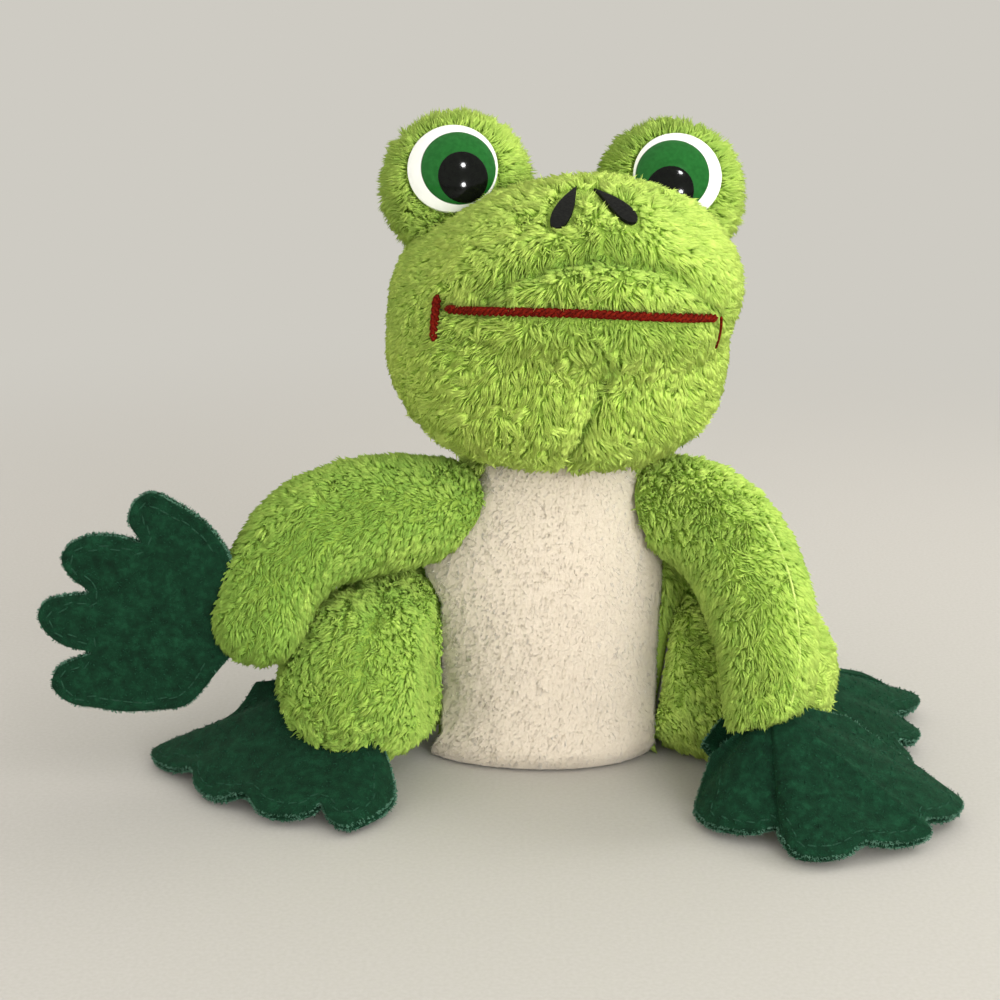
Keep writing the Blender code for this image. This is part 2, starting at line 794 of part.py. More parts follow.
def make_mouth(neck):
    lift = sewn_gap + mouth_thread_radius * 1.3
    clear = math.degrees((2 * mouth_thread_radius + 2 * sewn_gap) / head_half_width)
    turns = mouth_centre_degrees + np.linspace(-1.0, 1.0, 29) * mouth_half_degrees
    level = np.full(turns.shape, mouth_degrees)
    thread_object("mouth_thread", head_surface(level, turns, lift=lift), neck)
    for side, (low, high) in mouth_stitch_spans.items():
        reach = np.linspace(low, high, 5) / head_half_width
        rise = mouth_degrees + np.degrees(reach)
        turn = mouth_centre_degrees + side * (mouth_half_degrees + clear)
        stitch = head_surface(rise, np.full(rise.shape, turn), lift=lift)
        thread_object(f"{side_names[side]}_mouth_stitch", stitch, neck)


# Limbs: stuffed tubes that leave the torso square to the seam and end in a half ball


def limb_spine(root, path_shares, length, radius_shares, radius):
    """A limb's centre line and its radii, with how far along each of its stations lies."""
    path = root["point"] + np.array(path_shares) * length
    steps = np.linalg.norm(np.diff(path, axis=0), axis=1)
    stations = np.concatenate(((0.0,), np.cumsum(steps))) / steps.sum()
    return {
        "root": root,
        "stations": stations,
        "path": path,
        "radii": np.array(radius_shares) * radius,
        "end": unit(path[-1] - path[-2]),
    }


def limb_grid(spine, rows, turns, outset, shift=0.0):
    """Rings from the seam on the torso to the last ring of the round end, and the end's pole.

    The first ring lies in the seam's plane, and where the limb bends sharply the next ones are
    kept off that plane, as in a crease. shift moves the rings across the plane of turn zero.
    """
    share = np.linspace(0.0, 1.0, rows)
    centres = curve_through(spine["stations"], spine["path"], share)
    sizes = curve_through(spine["stations"], spine["radii"], share) + outset
    tangents = unit(np.gradient(centres, axis=0))
    tangents[-1] = spine["end"]
    for bend in np.radians(limb_end_degrees):
        centres = np.vstack((centres, spine["path"][-1] + sizes[rows - 1] * math.sin(bend) * spine["end"]))
        sizes = np.append(sizes, sizes[rows - 1] * math.cos(bend))
        tangents = np.vstack((tangents, spine["end"]))
    upright = np.array((0.0, 0.0, 1.0))
    ahead = np.array((0.0, -1.0, 0.0))
    reference = upright if abs(spine["end"] @ upright) < abs(spine["end"] @ ahead) else ahead
    first = unit(reference - (tangents @ reference)[:, None] * tangents)
    second = np.cross(tangents, first)
    spread = np.cos(turns)[:, None] * first[:, None] + np.sin(turns)[:, None] * second[:, None]
    rings = (centres + shift * second)[:, None] + sizes[:, None, None] * spread
    normal = spine["root"]["normal"]
    seam = spine["root"]["point"] + sewn_gap * normal
    short = ((seam - rings[0]) @ normal) / (tangents[0] @ normal)
    rings[0] = rings[0] + short[:, None] * tangents[0]
    least = root_crease * np.arange(len(rings))[:, None]
    rings = rings + np.maximum(least - (rings - seam) @ normal, 0.0)[..., None] * normal
    pole = spine["path"][-1] + sizes[rows - 1] * spine["end"] + shift * second[-1]
    return rings, pole


def full_turn(columns):
    """Evenly spread angles round a limb."""
    return np.linspace(0.0, 2 * math.pi, columns, endpoint=False)


def make_filling(name, spine, rows, columns, joint):
    """The wadding of a limb, from its seam to its round end."""
    rings, pole = limb_grid(spine, rows, full_turn(columns), -plush_thickness - filling_clearance)
    faces = grid_faces(len(rings), columns, start=True, end=True)
    points = listed(rings, rings[0].mean(axis=0), pole)
    place(name, mesh_of(name, points, faces), wadding_white, joint)


def make_arm(side):
    word = side_names[side]
    root = shoulders[side]
    spine = limb_spine(root, arm_path_shares[side], arm_length, arm_radius_shares[side], arm_radius)
    joint = joint_empty(f"{word}_shoulder", root["point"], root["normal"])
    name = f"{word}_arm_cover"
    turns = full_turn(arm_columns)
    outer, inner = [limb_grid(spine, arm_rows, turns, outset) for outset in (0.0, -plush_thickness)]
    faces = grid_faces(len(outer[0]), arm_columns, end=True)
    place(name, shell_of(name, listed(*outer), listed(*inner), faces), plush_green, joint)
    make_filling(f"{word}_arm_filling", spine, arm_rows, arm_columns, joint)
    return joint, spine


def make_leg(side):
    word = side_names[side]
    root = hips[side]
    spine = limb_spine(root, leg_path_shares[side], leg_length, leg_radius_shares, leg_radius)
    joint = joint_empty(f"{word}_hip", root["point"], root["normal"])
    for part, panel in ((side, "outer"), (-side, "inner")):
        name = f"{word}_leg_{panel}_cover"
        turns = np.linspace(0.0, math.pi, leg_columns // 2 + 1) * part
        turns = turns[::part]
        shift = part * sewn_gap / 2
        outer, inner = [
            limb_grid(spine, leg_rows, turns, outset, shift) for outset in (0.0, -plush_thickness)
        ]
        faces = grid_faces(len(outer[0]), len(turns), around=False, end=True)
        place(name, shell_of(name, listed(*outer), listed(*inner), faces), plush_green, joint)
    make_filling(f"{word}_leg_filling", spine, leg_rows, leg_columns, joint)
    return joint, spine


# Felt hands and feet: two layers stitched together, fanned out from the limb's round end


def rounded_outline(points, tips, half_width):
    """The fan's outline, with each fingertip turned into a half circle."""
    full = []
    for index, point in enumerate(points):
        if index not in tips:
            full.append(point)
            continue
        outward = unit(point)
        across = points[index + 1] - points[index - 1]
        across = unit(across - (across @ outward) * outward)
        middle = point - half_width * outward
        for bend in np.radians(fingertip_degrees):
            full.append(middle + half_width * (math.sin(bend) * across + math.cos(bend) * outward))
    return np.array(full)


def felt_fan(spine, outline_shares, length, half_width):
    """Rows of the fan's middle surface, from its root to its outline, and its width's direction.

    The root is an arc round the limb's end. Beyond the end's half ball it clears the limb's side.
    """
    centre = spine["path"][-1]
    outline = rounded_outline(np.array(outline_shares) * length, fingertips, half_width)
    middle = unit(outline.mean(axis=0))
    width = outline[-1] - outline[0]
    width = unit(width - (width @ middle) * middle)
    angles = np.sort(np.arctan2(outline @ width, outline @ middle))
    toward = np.cos(angles)[:, None] * middle + np.sin(angles)[:, None] * width
    behind = np.minimum(toward @ spine["end"], 0.0)[:, None]
    root = toward * (spine["radii"][-1] + felt_root_clearance) / np.sqrt(1 - behind**2)
    rows = np.array([centre + root + (outline - root) * share for share in felt_row_shares])
    return rows, width


def make_felt(names, fan, joint):
    """Two felt layers, one on each side of the fan's middle surface, the upper one first."""
    across = fan[1:, 1:] - fan[:-1, :-1]
    other = fan[1:, :-1] - fan[:-1, 1:]
    normal = unit(np.cross(across, other).sum(axis=(0, 1)))
    up = 1.0 if normal @ np.array((0.0, -1.0, 1.0)) > 0.0 else -1.0
    rows, columns = fan.shape[:2]
    faces = grid_faces(rows, columns, around=False)
    turned_over = [tuple(reversed(face)) for face in faces]
    for name, side in zip(names, (up, -up)):
        near, far = [
            listed(fan + side * offset * normal)
            for offset in (sewn_gap / 2, sewn_gap / 2 + felt_thickness)
        ]
        place(name, shell_of(name, far, near, faces if side > 0.0 else turned_over), felt_green, joint)


def make_felt_limb(name, spine, outline_shares, length, half_width, joint_name, parent):
    """A hand or a foot, on a joint through the limb's round end along the fan's width."""
    fan, width = felt_fan(spine, outline_shares, length, half_width)
    joint = joint_empty(joint_name, spine["path"][-1], width, parent)
    make_felt([f"{name}_{layer}_felt" for layer in ("upper", "lower")], fan, joint)


def make_part():
    for item in list(bpy.data.objects):
        bpy.data.objects.remove(item, do_unlink=True)
    make_torso()
    neck = joint_empty("neck", neck_centre, (0.0, 0.0, 1.0))
    head_cover = make_head(neck)
    points, rows = whole_head(sewn_gap)
    faces = grid_faces(rows, head_columns, start=True, end=True)
    head_cutter = hidden_cutter("head_cutter", mesh_of("head_cutter", points, faces))
    for side in (right, left):
        make_eye(side, neck, head_cutter, head_cover)
        make_nostril(side, neck)
    make_mouth(neck)
    for side in (right, left):
        word = side_names[side]
        joint, spine = make_arm(side)
        outline = hand_outline_shares[side]
        make_felt_limb(f"{word}_hand", spine, outline, hand_length, finger_half_width, f"{word}_wrist", joint)
        joint, spine = make_leg(side)
        outline = foot_outline_shares[side]
        make_felt_limb(f"{word}_foot", spine, outline, foot_length, toe_half_width, f"{word}_ankle", joint)


make_part()
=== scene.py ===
"""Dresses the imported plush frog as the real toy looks: pile fabric over wadding, felt hands and feet,
moulded eyes and a yarn mouth, on a pale floor in soft light.

Sizes are in metres. The frog sits on z = 0 and faces -Y, so its left side is at +X.
"""

import math

import bpy
import numpy as np
from mathutils import Matrix, Vector


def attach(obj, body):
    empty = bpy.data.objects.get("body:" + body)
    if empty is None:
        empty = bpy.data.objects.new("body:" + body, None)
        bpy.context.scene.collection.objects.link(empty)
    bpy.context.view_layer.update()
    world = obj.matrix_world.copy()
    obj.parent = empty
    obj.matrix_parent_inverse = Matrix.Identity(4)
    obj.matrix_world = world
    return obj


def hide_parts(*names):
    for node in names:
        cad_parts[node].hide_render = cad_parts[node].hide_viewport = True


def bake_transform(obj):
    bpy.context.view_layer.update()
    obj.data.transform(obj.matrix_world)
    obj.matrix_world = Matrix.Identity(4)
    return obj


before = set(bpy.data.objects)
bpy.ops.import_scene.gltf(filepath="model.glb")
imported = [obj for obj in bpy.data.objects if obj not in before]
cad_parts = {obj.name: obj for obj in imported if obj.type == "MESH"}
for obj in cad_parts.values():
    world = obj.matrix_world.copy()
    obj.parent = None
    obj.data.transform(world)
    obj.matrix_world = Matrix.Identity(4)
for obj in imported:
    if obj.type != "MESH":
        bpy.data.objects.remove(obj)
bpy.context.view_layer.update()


# Floor, light and view: a plain pale floor that fades into a pale distance, two wide soft lamps in
# front, two small ones that give the eyes their highlights, weaker ones at the sides, an even pale sky,
# and the camera 15 degrees above the floor, straight ahead.


def colour(red, green, blue):
    """The linear colour of a screen colour given as three numbers up to 255."""
    share = np.array((red, green, blue)) / 255.0
    return tuple(np.where(share <= 0.04045, share / 12.92, ((share + 0.055) / 1.055) ** 2.4))


def wired(tree, kind, at, **values):
    """A shader node of a kind, with its settings and its inputs' values or links."""
    item = tree.nodes.new(kind)
    item.location = at
    for name, value in values.items():
        key = name.replace("_", " ")
        socket = next((one for one in item.inputs if one.name.lower() == key), None)
        if socket is None:
            setattr(item, name, value)
        elif isinstance(value, bpy.types.NodeSocket):
            tree.links.new(value, socket)
        else:
            socket.default_value = value
    return item


def fed(tree, kind, at, *feeds, **values):
    """A shader node whose first inputs are linked in order."""
    item = wired(tree, kind, at, **values)
    for socket, feed in zip(item.inputs, feeds):
        tree.links.new(feed, socket)
    return item


def finish_of(name, base, roughness, **values):
    """A material whose Principled shader has the given constant values."""
    material = bpy.data.materials.new(name)
    material.use_nodes = True
    shader = material.node_tree.nodes["Principled BSDF"]
    shader.inputs["Base Color"].default_value = (*base, 1.0)
    shader.inputs["Roughness"].default_value = roughness
    for key, value in values.items():
        shader.inputs[key.replace("_", " ")].default_value = value
    return material, material.node_tree, shader


def ramp(tree, at, factor, *stops):
    """A colour ramp node fed by a socket, with (place, colour) stops."""
    item = wired(tree, "ShaderNodeValToRGB", at, fac=factor)
    elements = item.color_ramp.elements
    for index, (place, shade) in enumerate(stops):
        stop = elements[index] if index < 2 else elements.new(place)
        stop.position = place
        stop.color = (*shade, 1.0)
    return item.outputs["Color"]


floor_finish, tree, shader = finish_of("floor_paint", colour(186, 183, 175), 0.75)
place = wired(tree, "ShaderNodeTexCoord", (-900, 0)).outputs["Object"]
grain = wired(tree, "ShaderNodeTexNoise", (-500, 0), vector=place, scale=1100.0, detail=2.0)
shade = ramp(
    tree, (-250, 0), grain.outputs["Fac"], (0.3, colour(181, 178, 170)), (0.7, colour(187, 184, 177))
)
tree.links.new(shade, shader.inputs["Base Color"])
distance_colour = (*colour(206, 203, 195), 1.0)
far = fed(tree, "ShaderNodeVectorMath", (-700, 400), place, operation="LENGTH")
fade = wired(
    tree, "ShaderNodeMapRange", (-500, 400), interpolation_type="SMOOTHSTEP", value=far.outputs["Value"],
    from_min=0.16, from_max=0.60,
)
seen = wired(tree, "ShaderNodeLightPath", (-500, 700)).outputs["Is Camera Ray"]
share = fed(
    tree, "ShaderNodeMath", (-300, 600), fade.outputs["Result"], seen, operation="MULTIPLY"
)
glow = wired(tree, "ShaderNodeEmission", (-100, 400), color=distance_colour, strength=1.0)
mixed = fed(
    tree, "ShaderNodeMixShader", (100, 300), share.outputs[0], shader.outputs[0], glow.outputs[0]
)
tree.links.new(mixed.outputs[0], tree.nodes["Material Output"].inputs["Surface"])
floor_half = 4.0
mesh = bpy.data.meshes.new("floor")
corners = [(-1, -1, 0), (1, -1, 0), (1, 1, 0), (-1, 1, 0)]
mesh.from_pydata([tuple(floor_half * part for part in one) for one in corners], [], [(0, 1, 2, 3)])
mesh.materials.append(floor_finish)
floor = bpy.data.objects.new("floor", mesh)
bpy.context.scene.collection.objects.link(floor)


def aimed(place, target):
    """How an object stands at a place and faces a target."""
    way = (Vector(target) - Vector(place)).to_track_quat("-Z", "Y")
    return Matrix.Translation(place) @ way.to_matrix().to_4x4()


lit_place = (0.0, 0.0, 0.07)
for name, place, size, power in (
    ("soft_high", (0.65, -0.75, 0.90), 1.10, 3.6),
    ("soft_low", (0.40, -0.90, 0.27), 0.52, 6.7),
    ("spark_high", (0.20, -0.72, 0.66), 0.12, 5.0),
    ("spark_low", (0.19, -0.78, 0.15), 0.10, 4.0),
    ("side_left", (0.58, 0.10, 0.56), 0.30, 1.7),
    ("side_right", (-0.70, -0.35, 0.40), 0.50, 0.5),
):
    light = bpy.data.lights.new(name, "AREA")
    light.shape = "DISK"
    light.size = size
    light.energy = power
    lamp = bpy.data.objects.new(name, light)
    lamp.matrix_world = aimed(place, lit_place)
    lamp.visible_camera = False
    lamp.visible_glossy = name.startswith("spark")
    lamp.visible_diffuse = not lamp.visible_glossy
    bpy.context.scene.collection.objects.link(lamp)

world = bpy.data.worlds.new("sky")
world.use_nodes = True
tree = world.node_tree
sky = tree.nodes["Background"]
sky.inputs["Color"].default_value = (1.0, 0.97, 0.93, 1.0)
sky.inputs["Strength"].default_value = 0.94
plain = wired(tree, "ShaderNodeBackground", (-300, -200), color=distance_colour, strength=1.0)
seen = wired(tree, "ShaderNodeLightPath", (-300, 300)).outputs["Is Camera Ray"]
mixed = fed(tree, "ShaderNodeMixShader", (0, 200), seen, sky.outputs[0], plain.outputs[0])
tree.links.new(mixed.outputs[0], tree.nodes["World Output"].inputs["Surface"])
bpy.context.scene.world = world

view_target, view_place = (-0.0115, 0.0, 0.0600), (-0.0115, -0.4038, 0.1682)
lens = bpy.data.cameras.new("view")
lens.sensor_width = 36.0
lens.lens = 63.18
lens.clip_start = 0.01
camera = bpy.data.objects.new("view", lens)
camera.matrix_world = aimed(view_place, view_target)
bpy.context.scene.collection.objects.link(camera)
bpy.context.scene.camera = camera
bpy.context.scene.view_settings.view_transform = "Standard"


# Torso: a pear of short green pile fabric, sewn in front to the cream panel and at the neck to the head,
# and stuffed with polyester wadding. The pile is brushed downwards and clings together in small tufts.

right, left = -1, 1
side_names = {right: "right", left: "left"}
backing_thickness, pile_height = 0.0018, 0.0029
wadding_inset = 0.0031
neck_height = 0.0735
neck_shift = 0.0030
torso_half_width, torso_half_depth = 0.0315, 0.0260
torso_height_shares = (0.0, 0.045, 0.15, 0.30, 0.50, 0.68, 0.85, 1.0)
torso_width_shares = (0.90, 0.90, 0.90, 0.96, 1.00, 1.00, 0.84, 0.60)
torso_depth_shares = (0.84, 0.89, 0.96, 1.01, 1.00, 0.93, 0.80, 0.63)
belly_edge_degrees = {
    right: (78.0, 76.0, 74.0, 72.0, 74.0, 76.0, 66.0, 60.0),
    left: (64.0, 63.0, 61.0, 57.0, 54.0, 54.0, 58.0, 53.0),
}
arm_radius, leg_radius = 0.0115, 0.0174


def bell(values):
    """A smooth bell that is 1 at 0 and falls to 0.37 at 1."""
    return np.exp(-(values**2))


def clipped(values):
    """Values kept from 0 to 1."""
    return np.clip(values, 0.0, 1.0)


def all_round(count):
    """Evenly spaced angles round a full turn."""
    return np.linspace(0.0, 2 * math.pi, count, endpoint=False)


def unit(vectors):
    """Vectors of length one, along the last axis."""
    return vectors / np.linalg.norm(vectors, axis=-1, keepdims=True)


def within(vectors, normal):
    """What is left of vectors without their part along a normal."""
    return vectors - (vectors * normal).sum(axis=-1, keepdims=True) * normal


def square_gaps(places, others):
    """The squared distance of each place to each of the others."""
    return ((places[:, None] - others) ** 2).sum(axis=-1)


def stations_of(path):
    """How far along a path each of its points lies."""
    steps = np.linalg.norm(np.diff(path, axis=0), axis=1)
    return np.concatenate(((0.0,), np.cumsum(steps)))


def along_line(at, station, line):
    """Points read from a line of straight steps, at distances along it."""
    return np.stack([np.interp(at, station, column) for column in line.T], axis=-1)


def curve_through(stations, values, at):
    """Values read from the smooth cubic curve that passes through the stations."""
    stations, values, at = (np.asarray(one, float) for one in (stations, values, at))
    slopes = np.gradient(values, stations, axis=0)
    span = np.clip(np.searchsorted(stations, at, side="right") - 1, 0, len(stations) - 2)
    width = stations[span + 1] - stations[span]
    part = (at - stations[span]) / width
    if values.ndim > 1:
        part, width = part[:, None], width[:, None]
    square, cube = part**2, part**3
    return (
        (2 * cube - 3 * square + 1) * values[span]
        + (cube - 2 * square + part) * width * slopes[span]
        + (3 * square - 2 * cube) * values[span + 1]
        + (cube - square) * width * slopes[span + 1]
    )


def plain_torso(heights, angles, outset=0.0):
    """An ellipse at each height, whose two half widths follow smooth curves of the height. It swells
    at the base, most of all to the frog's right, and on that side again at half height."""
    share = clipped(heights / neck_height)
    wide, deep = (
        curve_through(torso_height_shares, shares, share.ravel()).reshape(share.shape)
        for shares in (torso_width_shares, torso_depth_shares)
    )
    across, along = np.cos(angles), np.sin(angles)
    right_swell = 0.0082 * bell(heights / 0.013) + 0.0022 * bell((heights - 0.046) / 0.010)
    left_swell, front_swell = 0.0018 * bell(heights / 0.016), 0.0028 * bell(heights / 0.011)
    swell = left_swell * np.maximum(across, 0.0) - right_swell * np.maximum(-across, 0.0)
    across = neck_shift * share + (wide * torso_half_width + outset) * across + swell
    along = (deep * torso_half_depth + outset) * along - front_swell * np.maximum(-along, 0.0)
    return np.stack((across, along, heights), axis=-1)


def limb_root(height, degrees_from_front, side, sink, radius):
    """The middle of a limb's seam on the torso, its outward direction, and its radius."""
    angle = math.radians(-90.0 + side * degrees_from_front)
    heights = np.array((height, height + 0.0003, height))
    here, above, beside = plain_torso(heights, np.array((angle, angle, angle + math.radians(1.0))))
    normal = unit(np.cross(beside - here, above - here))
    return {"point": here - sink * normal, "normal": normal, "radius": radius}


shoulders = {side: limb_root(0.0605, 62.0, side, 0.0012, arm_radius) for side in (right, left)}
hips = {side: limb_root(0.0225, 90.0, side, 0.0045, leg_radius * 1.30) for side in (right, left)}


def torso_surface(heights, angles, outset=0.0):
    """The torso, with a flat round patch pressed into it where each arm and leg is sewn on."""
    points = plain_torso(heights, angles, outset)
    for root in (*shoulders.values(), *hips.values()):
        offset = points - (root["point"] + outset * root["normal"])
        beyond = offset @ root["normal"]
        across = np.linalg.norm(offset - beyond[..., None] * root["normal"], axis=-1)
        excess = np.maximum(beyond - np.maximum(across - root["radius"], 0.0) * 1.4, 0.0)
        points = points - excess[..., None] * root["normal"]
    return points


def belly_edge(heights, side):
    """The angle of one edge of the cream panel, at each height."""
    degrees = curve_through(torso_height_shares, belly_edge_degrees[side], heights / neck_height)
    return side * np.radians(degrees) - math.pi / 2


def grid_triangles(rows, columns, around=True, start=False, end=False):
    """Corner numbers of two triangles for each cell of a grid, and of the fans that close its ends."""
    spans = columns if around else columns - 1
    row, column = np.meshgrid(np.arange(rows - 1), np.arange(spans), indexing="ij")
    here = (row * columns + column).ravel()
    beside = (row * columns + (column + 1) % columns).ravel()
    parts = [
        np.stack((here, beside, beside + columns), axis=-1),
        np.stack((here, beside + columns, here + columns), axis=-1),
    ]
    side = np.arange(spans)
    after = (side + 1) % columns
    pole = rows * columns
    if start:
        parts.append(np.stack((np.full_like(side, pole), after, side), axis=-1))
        pole += 1
    if end:
        last = (rows - 1) * columns
        parts.append(np.stack((last + side, last + after, np.full_like(side, pole)), axis=-1))
    return np.concatenate(parts)


def listed(rings, *poles):
    """A grid's points in one list, followed by its poles."""
    return np.vstack((np.reshape(rings, (-1, 3)), *[np.reshape(pole, (1, 3)) for pole in poles]))


def shell(outer, inner, triangles):
    """A closed wall: a sheet, the same sheet turned over inside it, and a rim along each free edge."""
    count = len(outer)
    edges = triangles[:, [0, 1, 1, 2, 2, 0]].reshape(-1, 2)
    met = np.isin(edges[:, 0] * count + edges[:, 1], edges[:, 1] * count + edges[:, 0])
    a, b = edges[~met].T
    rim = np.concatenate(
        (np.stack((b, a, a + count), axis=-1), np.stack((b, a + count, b + count), axis=-1))
    )
    return np.vstack((outer, inner)), np.concatenate((triangles, triangles[:, ::-1] + count, rim))


def piece(name, points, triangles, finish, body, slot, node=None, sharp=None):
    """A mesh object made of triangles, which rides on a body if one is given. It stands for a node of
    the part, if one is named, and its edges look sharp where they bend by more than sharp degrees."""
    mesh = bpy.data.meshes.new(name)
    mesh.vertices.add(len(points))
    mesh.vertices.foreach_set("co", np.ascontiguousarray(points, np.float32).ravel())
    mesh.loops.add(3 * len(triangles))
    mesh.loops.foreach_set("vertex_index", np.ascontiguousarray(triangles, np.int32).ravel())
    mesh.polygons.add(len(triangles))
    mesh.polygons.foreach_set("loop_start", np.arange(0, 3 * len(triangles), 3, dtype=np.int32))
    mesh.polygons.foreach_set("use_smooth", np.full(len(triangles), True))
    mesh.update(calc_edges=True)
    mesh.materials.append(finish)
    item = bpy.data.objects.new(name, mesh)
    bpy.context.scene.collection.objects.link(item)
    if body:
        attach(item, body)
    if sharp:
        item.data.set_sharp_from_angle(angle=math.radians(sharp))
    if node:
        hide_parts(node)
    return item


def lattice_random(cells, seed):
    """A number from 0 to 1 for each cell of a lattice, the same on every run."""
    mixed = np.sin(cells @ np.array((127.1, 311.7, 74.7)) + seed * 37.7) * 43758.5453
    return mixed - np.floor(mixed)


def soft_noise(points, size, seed):
    """Values from -1 to 1 that change smoothly over a size: lattice numbers blended in each cell."""
    cell = np.floor(points / size)
    part = points / size - cell
    part = part * part * (3 - 2 * part)
    total = 0.0
    for corner in np.ndindex(2, 2, 2):
        weight = np.prod(np.where(corner, part, 1 - part), axis=-1)
        total = total + weight * lattice_random(cell + corner, seed)
    return 2 * total - 1


def tuft_of(points, size, seed):
    """The way from each point to the middle of its tuft, the nearest of one jittered point a cell, with
    the tuft's own number and its own way of leaning."""
    cell = np.floor(points / size)
    nearest = np.full(len(points), np.inf)
    toward, owner = np.zeros_like(points), np.zeros_like(points)
    for step in np.ndindex(3, 3, 3):
        near = cell + np.array(step) - 1
        jitter = np.stack([lattice_random(near, seed + axis) for axis in (1, 2, 3)], axis=-1)
        away = (near + jitter) * size - points
        distance = (away**2).sum(axis=-1)
        closer = distance < nearest
        nearest = np.where(closer, distance, nearest)
        toward = np.where(closer[:, None], away, toward)
        owner = np.where(closer[:, None], near, owner)
    sway = np.stack([lattice_random(owner, seed + axis) for axis in (5, 6, 7)], axis=-1)
    return toward, lattice_random(owner, seed + 4), 2 * sway - 1


def rooted(points, triangles, count, chance):
    """Places spread evenly by area over a sheet, with the sheet's smooth outward direction there."""
    a, b, c = (points[triangles[:, corner]] for corner in range(3))
    cross = np.cross(b - a, c - a)
    normals = np.zeros_like(points)
    for corner in range(3):
        np.add.at(normals, triangles[:, corner], cross)
    normals = unit(normals + 1e-18)
    heap = np.cumsum(np.linalg.norm(cross, axis=1))
    chosen = np.searchsorted(heap, chance.random(count) * heap[-1])
    s, t = chance.random((2, count))
    s, t = np.where(s + t > 1, 1 - s, s)[:, None], np.where(s + t > 1, 1 - t, t)[:, None]
    corners = triangles[chosen]
    shares = (1 - s - t, s, t)
    place = sum(share * points[corners[:, k]] for k, share in enumerate(shares))
    outward = sum(share * normals[corners[:, k]] for k, share in enumerate(shares))
    return place, unit(outward)


def pile_finish(name, deep_root, deep_tip, light_root, light_tip, calm=0.65, **values):
    """Fibres painted deeper at the root, as painted shade where the wisps shade one another, and lighter
    towards the tip. Each wisp's tone mixes a deep and a light shade of the colour: part of it is random
    variation of the dye, and part is painted light and shade. Their shading follows the cloth's own
    direction by the share calm, as the light spreads in fine fibres."""
    material, tree, shader = finish_of(
        name, light_tip, 0.8, Sheen_Weight=0.2, Sheen_Roughness=0.5, Specular_IOR_Level=0.12, **values
    )
    shader.inputs["Subsurface Radius"].default_value = (1.0, 0.9, 0.8)
    shader.inputs["Sheen Tint"].default_value = (*light_tip, 1.0)
    tip = wired(tree, "ShaderNodeAttribute", (-900, 200), attribute_name="tip").outputs["Fac"]
    tone = wired(tree, "ShaderNodeAttribute", (-900, -200), attribute_name="tone").outputs["Fac"]
    deep = ramp(tree, (-600, 200), tip, (0.0, deep_root), (0.75, deep_tip))
    light = ramp(tree, (-600, -100), tip, (0.0, light_root), (0.75, light_tip))
    mix = wired(tree, "ShaderNodeMixRGB", (-250, 100), fac=tone, color1=deep, color2=light)
    tree.links.new(mix.outputs["Color"], shader.inputs["Base Color"])
    lay = wired(tree, "ShaderNodeAttribute", (-900, -500), attribute_name="lay").outputs["Vector"]
    lay = wired(
        tree, "ShaderNodeVectorTransform", (-700, -500), vector_type="NORMAL", convert_from="OBJECT",
        convert_to="WORLD", vector=lay,
    ).outputs["Vector"]
    own = wired(tree, "ShaderNodeNewGeometry", (-700, -700)).outputs["Normal"]
    blend = wired(
        tree, "ShaderNodeMix", (-450, -500), data_type="VECTOR", factor=calm, a=own, b=lay
    )
    soft = fed(
        tree, "ShaderNodeVectorMath", (-250, -500), blend.outputs[1], operation="NORMALIZE"
    )
    tree.links.new(soft.outputs[0], shader.inputs["Normal"])
    return material


def grained(name, dark, pale, scale, roughness, bump=0.0, **values):
    """A material whose colour, and height if a bump is given, follow fine noise."""
    material, tree, shader = finish_of(name, pale, roughness, **values)
    place = wired(tree, "ShaderNodeTexCoord", (-900, 0)).outputs["Object"]
    grain = wired(
        tree, "ShaderNodeTexNoise", (-700, 0), vector=place, scale=scale, detail=4.0
    ).outputs["Fac"]
    shade = ramp(tree, (-450, 100), grain, (0.35, dark), (0.7, pale))
    tree.links.new(shade, shader.inputs["Base Color"])
    if bump:
        item = wired(
            tree, "ShaderNodeBump", (-250, -200), strength=0.6, distance=bump, height=grain
        )
        tree.links.new(item.outputs["Normal"], shader.inputs["Normal"])
    return material


green_backing = grained(
    "green_backing", colour(134, 164, 62), colour(160, 190, 80), 1400.0, 0.9, 0.0006,
    Specular_IOR_Level=0.2,
)
green_pile = pile_finish(
    "green_pile", colour(116, 150, 58), colour(146, 184, 78), colour(166, 198, 84), colour(210, 235, 114)
)
wadding = grained("wadding_fibre", (0.62, 0.62, 0.60), (0.86, 0.86, 0.84), 260.0, 0.95, 0.001)


